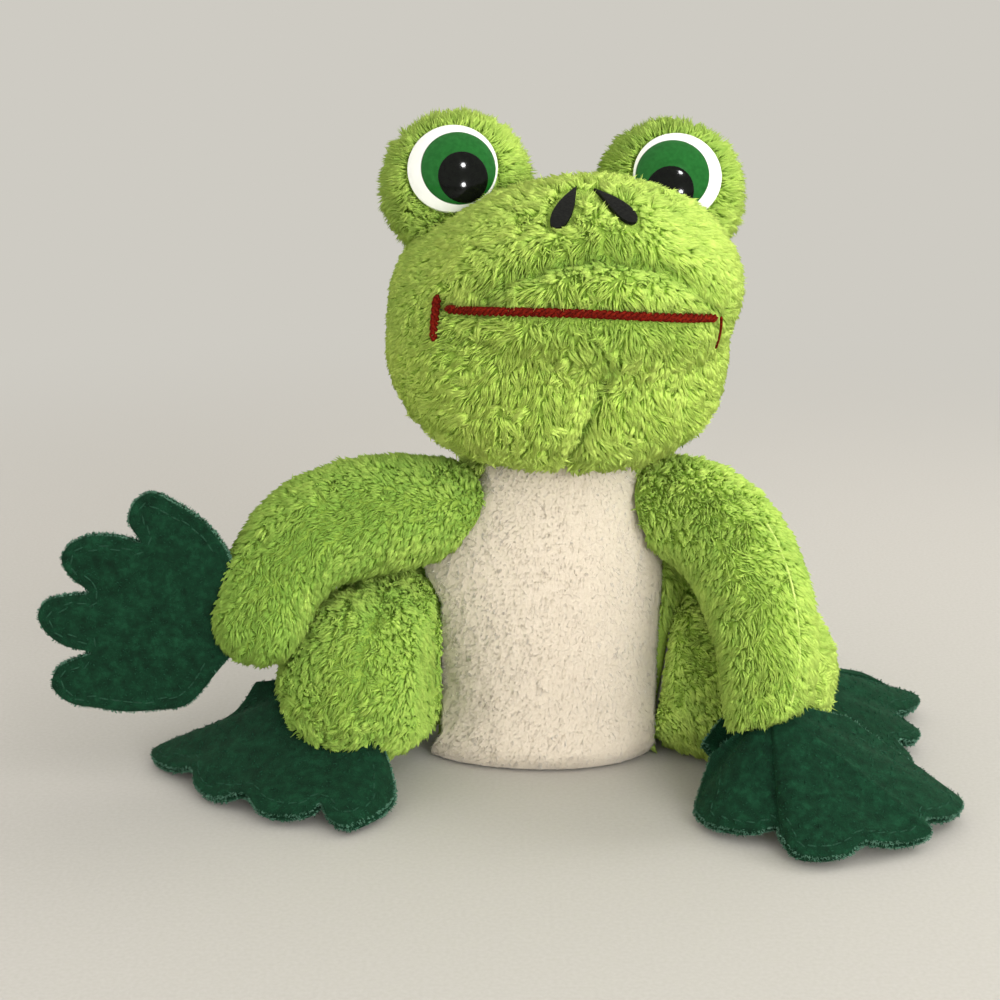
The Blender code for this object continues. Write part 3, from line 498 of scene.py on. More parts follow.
def pile(
    name, sheet, body, per_area, height, nap, seed, trim=None, shade=None, finish=green_pile,
    slot="plush_green", width=0.00054, tuft=0.0019, lean=1.5, pull=0.52, fuzz=0.14, swirl=0.80,
):
    """Wisps of pile. Each is a thin closed claw: a base of three corners just under the sheet, a bend
    above it, and a tip. It rises, bends over along the nap, and is drawn towards the middle of its tuft.
    trim gives, for each root, the share of its height that is left, and a root with under a tenth is
    dropped. Pile that is cut short is painted deeper, as painted shade in folds, at seams, by the floor and
    where parts meet. shade gives painted light and shade: how much lighter or deeper than the middle tone
    the pile is painted at each root."""
    swirl_size, patch_size, sunk = 0.0045, 0.011, 0.0003
    chance = np.random.default_rng(seed)
    points, triangles = sheet
    a, b, c = (points[triangles[:, corner]] for corner in range(3))
    area = np.linalg.norm(np.cross(b - a, c - a), axis=1).sum() / 2
    root, outward = rooted(points, triangles, int(area * per_area), chance)
    left_over = np.ones(len(root)) if trim is None else trim(root, outward)
    kept = left_over > 0.1
    root, outward, left_over = root[kept], outward[kept], left_over[kept]
    count = len(root)
    turn = np.stack([soft_noise(root, swirl_size, seed + axis) for axis in (5, 6, 7)], axis=-1)
    toward, mark, sway = tuft_of(root, tuft, seed)
    along = nap(root, outward) * 0.9 + swirl * turn + 0.75 * swirl * sway
    along = within(along, outward)
    along = along / np.maximum(np.linalg.norm(along, axis=-1, keepdims=True), 0.3)
    toward = within(toward, outward)
    tall = height * left_over * chance.uniform(0.75, 1.15, count) * (0.85 + 0.3 * mark)
    tall = tall[:, None]
    stray = fuzz * chance.normal(size=(2, count, 3))
    bend = root + 0.55 * tall * unit(outward + 0.45 * lean * along + stray[0]) + 0.35 * pull * toward
    over = unit(0.55 * outward + lean * along + stray[1])
    over = over + np.maximum(0.1 - (over * outward).sum(axis=-1), 0.0)[:, None] * outward
    tip = bend + 0.65 * tall * over + 0.65 * pull * toward
    bend[:, 2] = np.maximum(bend[:, 2], 0.0003)
    tip[:, 2] = np.maximum(tip[:, 2], 0.0003)
    across = unit(np.cross(outward, along + 0.3 * chance.normal(size=(count, 3))))
    rear = np.cross(outward, across)
    half = width / 2 * chance.uniform(0.7, 1.3, count)[:, None]
    base = root - sunk * outward
    points = np.stack(
        (
            base + half * rear,
            base + half * (0.87 * across - 0.5 * rear),
            base - half * (0.87 * across + 0.5 * rear),
            bend,
            tip,
        ),
        axis=1,
    ).reshape(-1, 3)
    points[:, 2] = np.maximum(points[:, 2], 0.0001)
    claw = np.array(((0, 1, 2), (1, 0, 3), (0, 2, 3), (2, 4, 3), (4, 1, 3), (1, 4, 2)))
    faces = (5 * np.arange(count)[:, None, None] + claw).reshape(-1, 3)
    item = piece(name, points, faces, finish, body, slot)
    patch = soft_noise(root, patch_size, seed + 9)
    tone = 0.5 + 0.36 * (mark - 0.5) + 0.20 * patch + 0.10 * chance.normal(size=count)
    # Painted shade where the pile is cut short, and each piece's painted light and shade from shade
    tone = tone - 0.2 * (1 - left_over) + (0.0 if shade is None else shade(root))
    tone = np.repeat(clipped(tone), 5)
    rise = np.tile((0.0, 0.0, 0.0, 0.55, 1.0), count)
    for word, values in (("tone", tone), ("tip", rise)):
        item.data.attributes.new(word, "FLOAT", "POINT").data.foreach_set("value", values)
    lay = np.repeat(outward, 5, axis=0).ravel()
    item.data.attributes.new("lay", "FLOAT_VECTOR", "POINT").data.foreach_set("vector", lay)
    spread = np.tile((-0.008, 0.008, 0.0, 0.004, 0.0), count)
    chart = np.stack((0.03 + 0.94 * tone + spread, 0.03 + 0.94 * rise), axis=-1)
    layer = item.data.uv_layers.new(name="OFBake")
    layer.data.foreach_set("uv", chart[faces.ravel()].ravel())
    return item


def stuffed(stem, sheets, triangles, body, node=None, finish=green_backing, slot="plush_green"):
    """A plush cover as a closed padded wall. Its outer sheet is given back for the pile."""
    points, faces = shell(*sheets, triangles)
    item = piece(f"{stem}_plush", points, faces, finish, body, slot, node or f"{stem}_cover")
    return sheets[0], triangles


def stuffing(stem, points, triangles, body):
    """The lump of wadding behind a cover."""
    lump = piece(f"{stem}_wadding", points, triangles, wadding, body, "wadding", f"{stem}_filling")


def lumpy(points, middle, seed):
    """Wadding's surface: points drawn a little towards the middle by cloudy noise."""
    draw = 0.0007 * (1 + soft_noise(points, 0.008, seed))
    return points - draw[:, None] * unit(points - middle)


def seam_groove(distance, depth=0.0009, half=0.0016):
    """How far a panel is drawn in at a distance from its seam: a smooth bell."""
    return depth * bell(distance / half)


def torso_sheet(heights, start, end, columns, outset):
    """Rows of the torso between two angles at each height, drawn in at both seams and at the base."""
    base_curl = 0.0026 * clipped(1 - heights / 0.006) ** 2
    share = np.linspace(0.0, 1.0, columns)
    turns = start[:, None] + share * (end - start)[:, None]
    wide = np.broadcast_to(heights[:, None], turns.shape)
    edge = np.minimum(turns - start[:, None], end[:, None] - turns) * torso_half_width
    drawn = seam_groove(edge) + base_curl[:, None]
    plain = torso_surface(wide, turns, outset)
    inward = plain - np.array((neck_shift, 0.0, 0.0)) * (wide / neck_height)[..., None]
    inward[..., 2] = 0.0
    return plain - drawn[..., None] * unit(inward)


def torso_panel(heights, start, end, columns, lift=0.0):
    """A panel's outer and inner sheet, both flat at the foot, and the triangles of either."""
    sheets = []
    for inset in (0.0, backing_thickness):
        rings = torso_sheet(heights, start, end, columns, -inset)
        rings[0, :, 2] = inset + lift
        sheets.append(listed(rings))
    return sheets, grid_triangles(len(heights), columns, around=False)


def torso_heights(rows):
    """The heights of a panel's rows, from the floor to just under the neck's seam."""
    return neck_height * np.linspace(0.0, 0.998, rows) ** 0.92


torso_rows, back_columns = 46, 120
heights = torso_heights(torso_rows)
start, end = belly_edge(heights, right), belly_edge(heights, left)
sheets, faces = torso_panel(heights, end, start + 2 * math.pi, back_columns)
torso_back = stuffed("torso", sheets, faces, "torso")

lump_rows, lump_columns = 30, 90
lump_heights = np.linspace(wadding_inset, neck_height - 0.0004, lump_rows)
grid = np.meshgrid(lump_heights, all_round(lump_columns), indexing="ij")
lump = torso_surface(*grid, -wadding_inset)
middle = np.array((0.0, 0.0, 0.035))
points = lumpy(listed(lump, lump[0].mean(axis=0), lump[-1].mean(axis=0)), middle, 3)
points[:, 2] = np.clip(points[:, 2], 0.0025, neck_height - 0.0002)
stuffing("torso", points, grid_triangles(lump_rows, lump_columns, start=True, end=True), "torso")


def sewn_under_limbs(root, outward):
    """No pile where an arm or a leg is sewn on, nor on the underside, and short pile at the floor."""
    share = clipped((root[:, 2] - 0.0006) / 0.0025) * 0.6 + 0.4
    for limb in (*shoulders.values(), *hips.values()):
        away = np.linalg.norm(root - limb["point"], axis=1)
        share = np.where(away < limb["radius"] * 0.80, 0.0, share)
    return np.where((root[:, 2] < 0.0004) | (outward[:, 2] < -0.85), 0.0, share)


def downward(root, outward):
    """Pile that is brushed straight down."""
    return np.broadcast_to((0.0, 0.0, -1.0), root.shape)


pile(
    "torso_pile", torso_back, "torso", 3.2e6, pile_height, downward, 11, trim=sewn_under_limbs,
    width=0.00058,
)


# Belly: one panel of cream pile fabric, sewn along both edges to the torso's green cover and at the top
# to the chin. Its pile is so fine and close that it lies as one combed surface, with a few loose fibres.

cream_backing = grained(
    "cream_backing", colour(202, 190, 171), colour(210, 199, 181), 1400.0, 0.9, 0.0002,
    Specular_IOR_Level=0.12, Sheen_Weight=0.2, Sheen_Roughness=0.5,
)
cream_pile = pile_finish(
    "cream_pile", colour(208, 195, 176), colour(210, 198, 180), colour(211, 200, 182),
    colour(215, 205, 189), calm=1.0, Subsurface_Weight=0.8, Subsurface_Scale=0.0012,
)
belly_rows, belly_columns = 170, 170
heights = torso_heights(belly_rows)
seam_gap = 0.0004 / torso_half_width
start, end = belly_edge(heights, right) + seam_gap, belly_edge(heights, left) - seam_gap
sheets, faces = torso_panel(heights, start, end, belly_columns, 0.0004)


def combed_rise(points):
    """How far combed locks stand out: noise drawn out along the nap, on places that smooth noise bends."""
    turn = np.stack([soft_noise(points, 0.008, 50 + axis) for axis in range(3)], axis=-1)
    bent = points + 0.0016 * turn + np.clip(0.03 - points[:, 2:], 0.0, 0.03) * (0.35, 0.0, 0.0)
    locks = soft_noise(bent * (1.0, 1.0, 0.40), 0.0015, 54)
    fine = soft_noise(bent * (1.0, 1.0, 0.30), 0.0007, 55)
    return 0.00013 * locks + 0.00007 * fine + 0.0005 * soft_noise(points, 0.014, 56)


rise = combed_rise(sheets[0])
sheets[0] = sheets[0] + rise[:, None] * unit(sheets[0] * (1.0, 1.0, 0.0))
belly = stuffed("belly", sheets, faces, "torso", "belly_panel", cream_backing, "plush_cream")


def combed_belly(root, outward):
    """Pile combed down, turning slowly to one side low on the belly."""
    turn = clipped((0.045 - root[:, 2]) / 0.045)[:, None]
    side = np.clip((root[:, :1] - 0.002) / 0.02, -1.0, 1.0)
    return np.hstack((side * turn * 0.8, 0.0 * side, -1.0 + 0.3 * turn))


pile(
    "belly_pile", belly, "torso", 2.0e6, 0.0008, combed_belly, 12,
    trim=lambda root, outward: clipped((root[:, 2] - 0.0006) / 0.002) * 0.6 + 0.4,
    finish=cream_pile, slot="plush_cream", width=0.00014, tuft=0.0015, lean=2.4, pull=0.20,
    fuzz=0.12, swirl=0.4,
)


# Head: two panels of green pile fabric, the crown with the upper muzzle and the jaw, which meet along
# the mouth and close over one lump of wadding. A short dart is sewn up the middle of the chin.

head_centre = np.array((neck_shift, -0.0030, neck_height + 0.0300 * 0.93))
head_radii = np.array((0.0392, 0.0350, 0.0300))
muzzle_centre = np.array((0.0030, -0.0185, 0.0135))
muzzle_radii = np.array((0.0330, 0.0265, 0.0215))
head_fullness, form_blend = 2.5, 0.0018
head_turn = np.array(
    Matrix.Rotation(math.radians(8.0), 3, "Z") @ Matrix.Rotation(math.radians(2.5), 3, "Y")
)


def head_reach(directions, outset=0.0):
    """Distance from the head's centre to its surface: a soft maximum of a full round skull, whose
    coordinates' powers of 2.5 add up to one, and of the muzzle's ellipsoid ahead of it."""
    skull = (np.abs(directions / (head_radii + outset)) ** head_fullness).sum(axis=-1)
    skull_reach = skull ** (-1.0 / head_fullness)
    along = directions / (muzzle_radii + outset)
    start = -muzzle_centre / (muzzle_radii + outset)
    a, b, c = (along**2).sum(axis=-1), (along * start).sum(axis=-1), (start**2).sum() - 1.0
    muzzle_reach = (-b + np.sqrt(np.maximum(b**2 - a * c, 0.0))) / a
    return form_blend * np.log(np.exp(skull_reach / form_blend) + np.exp(muzzle_reach / form_blend))


def head_direction(elevation, azimuth):
    """Unit vectors in the head's own frame: azimuth 0 is straight ahead, positive to its left."""
    elevation, azimuth = np.radians(elevation), np.radians(azimuth)
    level = np.cos(elevation)
    parts = (level * np.sin(azimuth), -level * np.cos(azimuth), np.sin(elevation) + 0.0 * azimuth)
    return np.stack(parts, axis=-1)


def head_to_world(points):
    """The head's own frame tilted, turned and moved to its place on the neck."""
    return np.asarray(points) @ head_turn.T + head_centre


def head_own(points):
    """World points in the head's own frame."""
    return (points - head_centre) @ head_turn


def head_surface(elevation, azimuth, outset=0.0, lift=0.0):
    """World points on the head."""
    directions = head_direction(elevation, azimuth)
    return head_to_world(directions * (head_reach(directions, outset) + lift)[..., None])


def inside_head(points, margin=0.0):
    """Whether points lie inside the head, or within a margin of its surface."""
    own = head_own(points)
    distance = np.linalg.norm(own, axis=-1)
    return distance < head_reach(own / np.maximum(distance, 1e-9)[..., None]) + margin


def head_angles(points):
    """Elevation and azimuth on the head of world points, in degrees."""
    own = unit(head_own(points))
    return np.degrees(np.arcsin(own[:, 2])), np.degrees(np.arctan2(own[:, 0], -own[:, 1]))


def wrapped(degrees):
    """The same angles from -180 to 180 degrees."""
    return (degrees + 180.0) % 360.0 - 180.0


mouth_degrees, mouth_centre, mouth_half = 11.0, -7.5, 40.5


def mouth_rise(azimuth):
    """The elevation of the seam between crown and jaw, a little higher in the middle of the mouth."""
    return mouth_degrees + 2.2 * bell(wrapped(azimuth - mouth_centre) / 34.0)


def chin_dart(elevation):
    """The azimuth of the chin's seam at each elevation."""
    return np.interp(elevation, (-60.0, -8.0), (-7.0, 5.5))


def fold_depth(elevation, azimuth):
    """How deep in the fold of the cloth above the mouth a place lies, from 0 to 1."""
    off = azimuth + 1.0
    line = 27.0 - 9.0 * (off / 30.0) ** 2
    ends = clipped(1.0 - np.abs(off) / 38.0) ** 0.5
    return ends * bell((elevation - line) / 3.5)


def head_shape(elevation, azimuth, outset):
    """The head with its sewn detail: a groove at the mouth, the chin's dart, the fold above the
    mouth, slow lumps of the wadding, and a left side that is packed less full."""
    elevation, azimuth = np.broadcast_arrays(elevation, azimuth)
    front = 1 / (1 + np.exp((np.abs(wrapped(azimuth - mouth_centre)) - 44.0) / 4.0))
    groove = 0.0012 * front * bell((elevation - mouth_rise(azimuth)) / 3.2)
    dart_fade = clipped((-elevation - 2.0) / 12.0)
    dart = 0.0026 * dart_fade * bell((wrapped(azimuth) - chin_dart(elevation)) / 4.0)
    fold = 0.0034 * fold_depth(elevation, wrapped(azimuth))
    slack = 0.0038 * np.maximum(head_direction(elevation, azimuth)[..., 0], 0.0) ** 3
    plain = head_surface(elevation, azimuth, outset)
    lumps = 0.0004 * soft_noise(plain, 0.013, 21)
    return head_surface(elevation, azimuth, outset, lumps - groove - dart - fold - slack)


head_columns, crown_rows, jaw_rows = 168, 64, 52
azimuths = np.linspace(0.0, 360.0, head_columns, endpoint=False)


def neck_elevations(outset):
    """The elevation in each column at which the head meets its flat underside, found by halving."""
    low, high = np.full(head_columns, -89.0), np.full(head_columns, mouth_degrees)
    for _ in range(40):
        middle = (low + high) / 2
        above = head_surface(middle, azimuths, outset)[:, 2] > neck_height - outset
        low, high = np.where(above, low, middle), np.where(above, middle, high)
    return high


seam_line = mouth_rise(azimuths)
crown_degrees = seam_line + (88.0 - seam_line) * np.linspace(0.0, 1.0, crown_rows)[:, None]
top_point = np.array((90.0,)), np.array((0.0,))
sheets = [
    listed(head_shape(crown_degrees, azimuths, -inset), head_surface(*top_point, -inset)[0])
    for inset in (0.0, backing_thickness)
]
faces = grid_triangles(crown_rows, head_columns, end=True)
crown = stuffed("head_top", sheets, faces, "head")

lump_rows, low = 50, neck_elevations(-wadding_inset)
rise = low + (87.0 - low) * np.linspace(0.0, 1.0, lump_rows)[:, None]
lump = head_surface(rise, np.broadcast_to(azimuths, rise.shape), -wadding_inset)
top = head_surface(*top_point, -wadding_inset)[0]
points = lumpy(listed(lump, lump[0].mean(axis=0), top), head_centre, 4)
points[:, 2] = np.maximum(points[:, 2], neck_height + 0.0024)
stuffing("head", points, grid_triangles(lump_rows, head_columns, start=True, end=True), "head")

seam_degrees = 0.5
sheets = []
for inset in (0.0, backing_thickness):
    low = neck_elevations(-inset)
    share = np.linspace(0.0, 1.0, jaw_rows)[:, None]
    rings = head_shape(low + (seam_line - seam_degrees - low) * share, azimuths, -inset)
    rings[0, :, 2] = neck_height + inset + 0.0002
    sheets.append(listed(rings, rings[0].mean(axis=0)))
faces = grid_triangles(jaw_rows, head_columns, start=True)
jaw = stuffed("head_jaw", sheets, faces, "head")

mound_radius, eye_seat_share, eye_radius = 0.0152, 0.80, 0.0100


def eye_frame(side):
    """The mound's centre, and the eye's directions to its side, above it and ahead of it."""
    centre = head_to_world(np.array((side * 0.0248, 0.0080, 0.0308)))
    tilt, splay = math.radians(23.5), math.radians(side * 3.0)
    level = math.cos(tilt)
    ahead = np.array((math.sin(splay) * level, -math.cos(splay) * level, math.sin(tilt)))
    sideways = unit(np.cross((0.0, 0.0, 1.0), ahead))
    return centre, sideways, np.cross(ahead, sideways), ahead


def head_trim(root, outward):
    """Pile cut short under the mouth's yarn and the nostrils, and left out inside the eye mounds."""
    elevation, azimuth = head_angles(root)
    off = np.abs(azimuth - mouth_centre)
    mouth = bell((elevation - mouth_rise(azimuth)) / 1.9) / (1 + np.exp((off - 41.0) / 1.5))
    dart = bell((azimuth - chin_dart(elevation)) / 1.6) * (elevation < -6.0)
    share = (1.0 - 0.72 * mouth) * (1.0 - 0.45 * dart) * (1.0 - 0.35 * fold_depth(elevation, azimuth))
    for side in (right, left):
        centre, _, _, ahead = eye_frame(side)
        away = root - centre
        share = np.where(np.linalg.norm(away, axis=1) < mound_radius - 0.0005, 0.0, share)
        depth = away @ ahead
        across = np.linalg.norm(away - depth[:, None] * ahead, axis=1)
        near = (across < eye_radius + 0.0005) & (depth > 0.0)
        share = np.where(near, np.minimum(share, 0.85), share)
        drop = nostril_frame(side)
        spread = root - drop["middle"]
        reach = np.hypot((spread @ drop["along"]) / 0.0082, (spread @ drop["over"]) / 0.0033)
        share = np.where((reach < 1.0) & (spread @ drop["outward"] > -0.004), 0.16, share)
    share = share * (1.0 - 0.35 * clipped((np.abs(head_own(root)[:, 0]) - 0.026) / 0.010))
    return np.where(outward[:, 2] < -0.93, 0.0, share)


def head_nap(root, outward):
    """Pile brushed down and away from the middle of the face, and back over the crown."""
    own = head_own(root)
    down = np.array((0.0, 0.0, -1.0))
    side = np.clip(own[:, :1] / 0.03, -1.0, 1.0) * np.array((0.75, 0.0, 0.0))
    back = clipped((own[:, 1:2] + 0.030) / 0.03) * np.array((0.0, 0.6, 0.0))
    return (down + side + back) @ head_turn.T


def head_painted_shading(root):
    """Painted light and shade on the head's pile: lighter all over and more so on the jaw, which faces down
    into shade, a little deeper on the jaw to the frog's left of the chin's dart, and painted shade in the
    fold above the mouth and along the dart.
    """
    elevation, azimuth = head_angles(root)
    dart = bell((azimuth - chin_dart(elevation)) / 2.0)
    dart = dart * clipped((1.0 - elevation) / 8.0)
    jaw = clipped((8.0 - elevation) / 16.0)
    beside = clipped((azimuth - chin_dart(elevation)) / 8.0) * jaw
    return 0.18 + 0.30 * jaw - 0.22 * beside - 0.6 * fold_depth(elevation, azimuth) - 0.8 * dart


def nostril_frame(side):
    """A nostril's middle on the muzzle, the way out of it, along it towards its point, and over it."""
    outward = head_direction(43.0, np.array({right: -11.5, left: 5.0}[side]))
    lean = math.radians(side * {right: 15.0, left: 28.0}[side])
    sideways = unit(np.cross((0.0, 0.0, 1.0), outward))
    upward = np.cross(outward, sideways)
    along = math.cos(lean) * upward - math.sin(lean) * sideways
    over = math.cos(lean) * sideways + math.sin(lean) * upward
    middle = head_to_world(outward * head_reach(outward))
    own = {"outward": outward, "along": along, "over": over}
    return {"middle": middle, "own": own, **{word: head_turn @ one for word, one in own.items()}}


pile(
    "head_top_pile", crown, "head", 4.0e6, pile_height, head_nap, 43, trim=head_trim,
    shade=head_painted_shading,
)
pile(
    "head_jaw_pile", jaw, "head", 3.5e6, pile_height, head_nap, 14, trim=head_trim,
    shade=head_painted_shading, width=0.00058,
)


# Eye mounds: two small balls of green pile fabric sewn to the top of the head, stuffed, and drawn flat
# in front by the eye's washer. The pile stands out round each eye.

mound_columns = 90


def round_axis(sideways, above, columns):
    """Directions all round an axis, square to it."""
    turns = all_round(columns)[:, None]
    return np.cos(turns) * sideways + np.sin(turns) * above


def ball_ring(side, radius, height):
    """Rings round the eye's axis, given their radii and heights above the mound's centre."""
    centre, sideways, above, ahead = eye_frame(side)
    flat = round_axis(sideways, above, mound_columns)
    radius, height = (np.atleast_1d(one)[:, None, None] for one in (radius, height))
    return centre + radius * flat + height * ahead


def mound_sheet(side, outset, hole):
    """A mound from its back pole round to its front edge, then flat in to a round hole."""
    seat, radius = mound_radius * eye_seat_share + outset, mound_radius + outset
    bends = np.radians(np.linspace(-84.0, math.degrees(math.asin(seat / radius)) - 4.0, 44))
    edge = radius * math.cos(math.asin(seat / radius))
    wide = np.concatenate((radius * np.cos(bends), edge * np.array((0.98, 0.9, 0.6)), (hole,)))
    tall = np.concatenate((radius * np.sin(bends), seat - 0.0003 * np.array((1.2, 0.3, 0.0, 0.0))))
    return ball_ring(side, wide, tall), ball_ring(side, 0.0, -radius)[0, 0]


def mound_nap(side):
    """Pile that leans away from the eye and back over the mound, but rises over the eye's lower rim."""
    centre, _, above, ahead = eye_frame(side)

    def nap(root, outward):
        away = root - centre
        under = np.clip(-(away @ above) / eye_radius - 0.5, 0.0, 0.6) * (away @ ahead > 0.006)
        plain = 0.8 * unit(away - (away @ ahead)[:, None] * ahead) - 0.9 * ahead + (0.0, 0.0, -0.2)
        return plain + (4.5 * under)[:, None] * (above + 0.4 * ahead)

    return nap


def mound_trim(side):
    """No pile inside the head or under the eye, and a fringe that starts at the eye's rim."""
    centre, _, _, ahead = eye_frame(side)

    def trim(root, outward):
        away = root - centre
        depth = away @ ahead
        across = np.linalg.norm(away - depth[:, None] * ahead, axis=1)
        share = np.where(inside_head(root, -0.0005), 0.0, 1.0)
        under = (across < eye_radius - 0.0002) & (depth > 0.0)
        rim = clipped((across - eye_radius) / 0.002) * 0.25 + 0.75
        return np.where(under, 0.0, share * np.where(depth > 0.0, rim, 1.0))

    return trim


for side in (right, left):
    word = side_names[side]
    outer, inner = (mound_sheet(side, -inset, 0.0030) for inset in (0.0, backing_thickness))
    lump, back = mound_sheet(side, -wadding_inset, 0.0062)
    floor_ring = ball_ring(side, 0.0062, mound_radius * eye_seat_share - 0.0076)
    lump = np.concatenate((lump, floor_ring))
    faces = grid_triangles(len(outer[0]), mound_columns, start=True)
    mound = stuffed(f"{word}_mound", (listed(*outer), listed(*inner)), faces, "head")
    faces = grid_triangles(len(lump), mound_columns, start=True, end=True)
    stuffing(f"{word}_mound", listed(lump, back, floor_ring.mean(axis=(0, 1))), faces, "head")
    # Painted shade: the mounds' pile is painted a little deeper than the middle tone
    pile(
        f"{word}_mound_pile", mound, "head", 4.2e6, pile_height, mound_nap(side), 15 + side,
        trim=mound_trim(side), lean=0.7, shade=lambda root: -0.06,
    )


# Eyes: moulded safety eyes, each a glossy white dome with a post that a washer grips inside the mound.
# The green iris and the black pupil are inlaid discs that follow the dome, set off its middle.

dome_height, rim_height = 0.0042, 0.0012
dome_curve = (eye_radius**2 + dome_height**2) / (2 * dome_height)


def dome_rise(distance, lift=0.0):
    """Height of the dome above the eye's back: part of a ball, lifted a little for an inlay."""
    return rim_height + dome_height - dome_curve + np.sqrt((dome_curve + lift) ** 2 - distance**2)


eye_columns = 96


def eye_seat(side):
    """Where the eye's back lies on its mound, and the directions to its side, above and ahead of it."""
    centre, sideways, above, ahead = eye_frame(side)
    return centre + (mound_radius * eye_seat_share + 0.0003) * ahead, sideways, above, ahead


def turned(side, radii, heights, start, end):
    """A profile turned round the eye's axis, listed from the back to the front."""
    seat, sideways, above, ahead = eye_seat(side)
    flat = round_axis(sideways, above, eye_columns)
    rings = seat + np.reshape(radii, (-1, 1, 1)) * flat + np.reshape(heights, (-1, 1, 1)) * ahead
    points = listed(rings, seat + start * ahead, seat + end * ahead)
    return points, grid_triangles(len(rings), eye_columns, start=True, end=True)


def inlay(side, radius, offset, low, high):
    """A thin round disc that follows the dome, whose middle lies off the eye's axis."""
    seat, sideways, above, ahead = eye_seat(side)
    turns = all_round(eye_columns)
    rim = np.stack((np.cos(turns), np.sin(turns)), axis=-1)
    shares = np.array((1.0, 0.985, 0.95, 0.85, 0.7, 0.5, 0.3, 0.1))
    flat = (radius * shares[:, None, None] * rim + offset).reshape(-1, 2)
    flat = np.vstack((flat, [offset]))
    ease = np.concatenate((np.repeat((0.0, 0.7, 1, 1, 1, 1, 1, 1), eye_columns), (1.0,)))
    distance = np.linalg.norm(flat, axis=1)
    sides = flat[:, :1] * sideways + flat[:, 1:] * above
    outer, inner = (
        seat + sides + dome_rise(distance, lift)[:, None] * ahead
        for lift in (low + (high - low) * ease, low - 0.0003 + 0.0 * ease)
    )
    return shell(outer, inner, grid_triangles(len(shares), eye_columns, end=True))


gloss = {"Specular_IOR_Level": 0.12, "Coat_Weight": 0.22, "Coat_Roughness": 0.04}
eye_white = grained("eye_white", colour(232, 234, 226), colour(238, 240, 232), 500.0, 0.2, **gloss)
eye_iris = grained("eye_iris", colour(16, 84, 26), colour(24, 96, 34), 900.0, 0.15, **gloss)
gloss = {**gloss, "Specular_IOR_Level": 0.05, "Coat_Weight": 0.13}
eye_pupil = grained("eye_pupil", colour(8, 10, 8), colour(14, 17, 13), 900.0, 0.12, **gloss)
washer_finish = grained("eye_washer", (0.70, 0.70, 0.67), (0.78, 0.78, 0.75), 700.0, 0.4)

for side in (right, left):
    word = side_names[side]
    steps = np.concatenate((np.linspace(1.0, 0.9, 6), np.linspace(0.85, 0.06, 14)))
    radii = np.concatenate(((0.0021, 0.0022, 0.0022, 0.0097, 0.0100), eye_radius * steps))
    tall = np.concatenate(((-0.0070, -0.0068, 0.0, 0.0, 0.0003), dome_rise(eye_radius * steps)))
    points, faces = turned(side, radii, tall, -0.0070, rim_height + dome_height)
    name = f"{word}_eye"
    piece(f"{name}_dome", points, faces, eye_white, "head", "eye_white", f"{name}_white", 40.0)
    pupil_offset = {right: (0.26, -0.30), left: (-0.24, -0.46)}[side]
    for part, finish, radius, offset, low, high in (
        ("iris", eye_iris, 0.0082, (-side * 0.14, -0.05), 0.00002, 0.00026),
        ("pupil", eye_pupil, 0.0054, pupil_offset, 0.00028, 0.00052),
    ):
        points, faces = inlay(side, radius, np.array(offset) * eye_radius, low, high)
        piece(
            f"{name}_{part}_disc", points, faces, finish, "head", f"eye_{part}", f"{name}_{part}", 40.0
        )
    washer = bpy.data.objects[f"{name}_washer"].data.materials
    washer.clear()
    washer.append(washer_finish)


# Nostrils: two drops cut from black felt and stuck to the muzzle with their points together.

nostril_felt = grained(
    "nostril_felt", colour(6, 7, 5), colour(20, 21, 17), 1600.0, 0.7, 0.0003, Specular_IOR_Level=0.15
)

drop_columns = 72
for side in (right, left):
    own = nostril_frame(side)["own"]
    turns = all_round(drop_columns)
    length = {right: 0.0146, left: 0.0130}[side] / 2 * -np.cos(turns)
    width = 0.0028 * np.sin(turns) * ((1.0 + np.cos(turns)) / 2) ** 0.75
    drop = length[:, None] * own["along"] + width[:, None] * own["over"]
    shares = np.array((1.0, 0.97, 0.85, 0.6, 0.3, 0.05))[:, None, None]
    middle = own["outward"] * head_reach(own["outward"])
    toward = unit(np.vstack(((middle + shares * drop).reshape(-1, 3), [middle])))
    ease = np.concatenate((np.repeat((0.35, 0.85, 1.0, 1.0, 1.0, 1.0), drop_columns), (1.0,)))
    outer, inner = (
        head_to_world(toward * (head_reach(toward) + lift)[:, None])
        for lift in (0.0012 + 0.0008 * ease, 0.0010 + 0.0 * ease)
    )
    points, faces = shell(outer, inner, grid_triangles(len(shares), drop_columns, end=True))
    name = f"{side_names[side]}_nostril"
    piece(f"{name}_felt", points, faces, nostril_felt, "head", "black_felt", name, 50.0)


# Mouth: one length of red yarn of three twisted strands, laid along the seam and caught at each end by
# an upright stitch of the same yarn, thick at the frog's right and a single thin strand at its left.

yarn_red = grained(
    "red_yarn", colour(66, 7, 2), colour(124, 27, 10), 2200.0, 0.8, 0.0002, Specular_IOR_Level=0.06
)


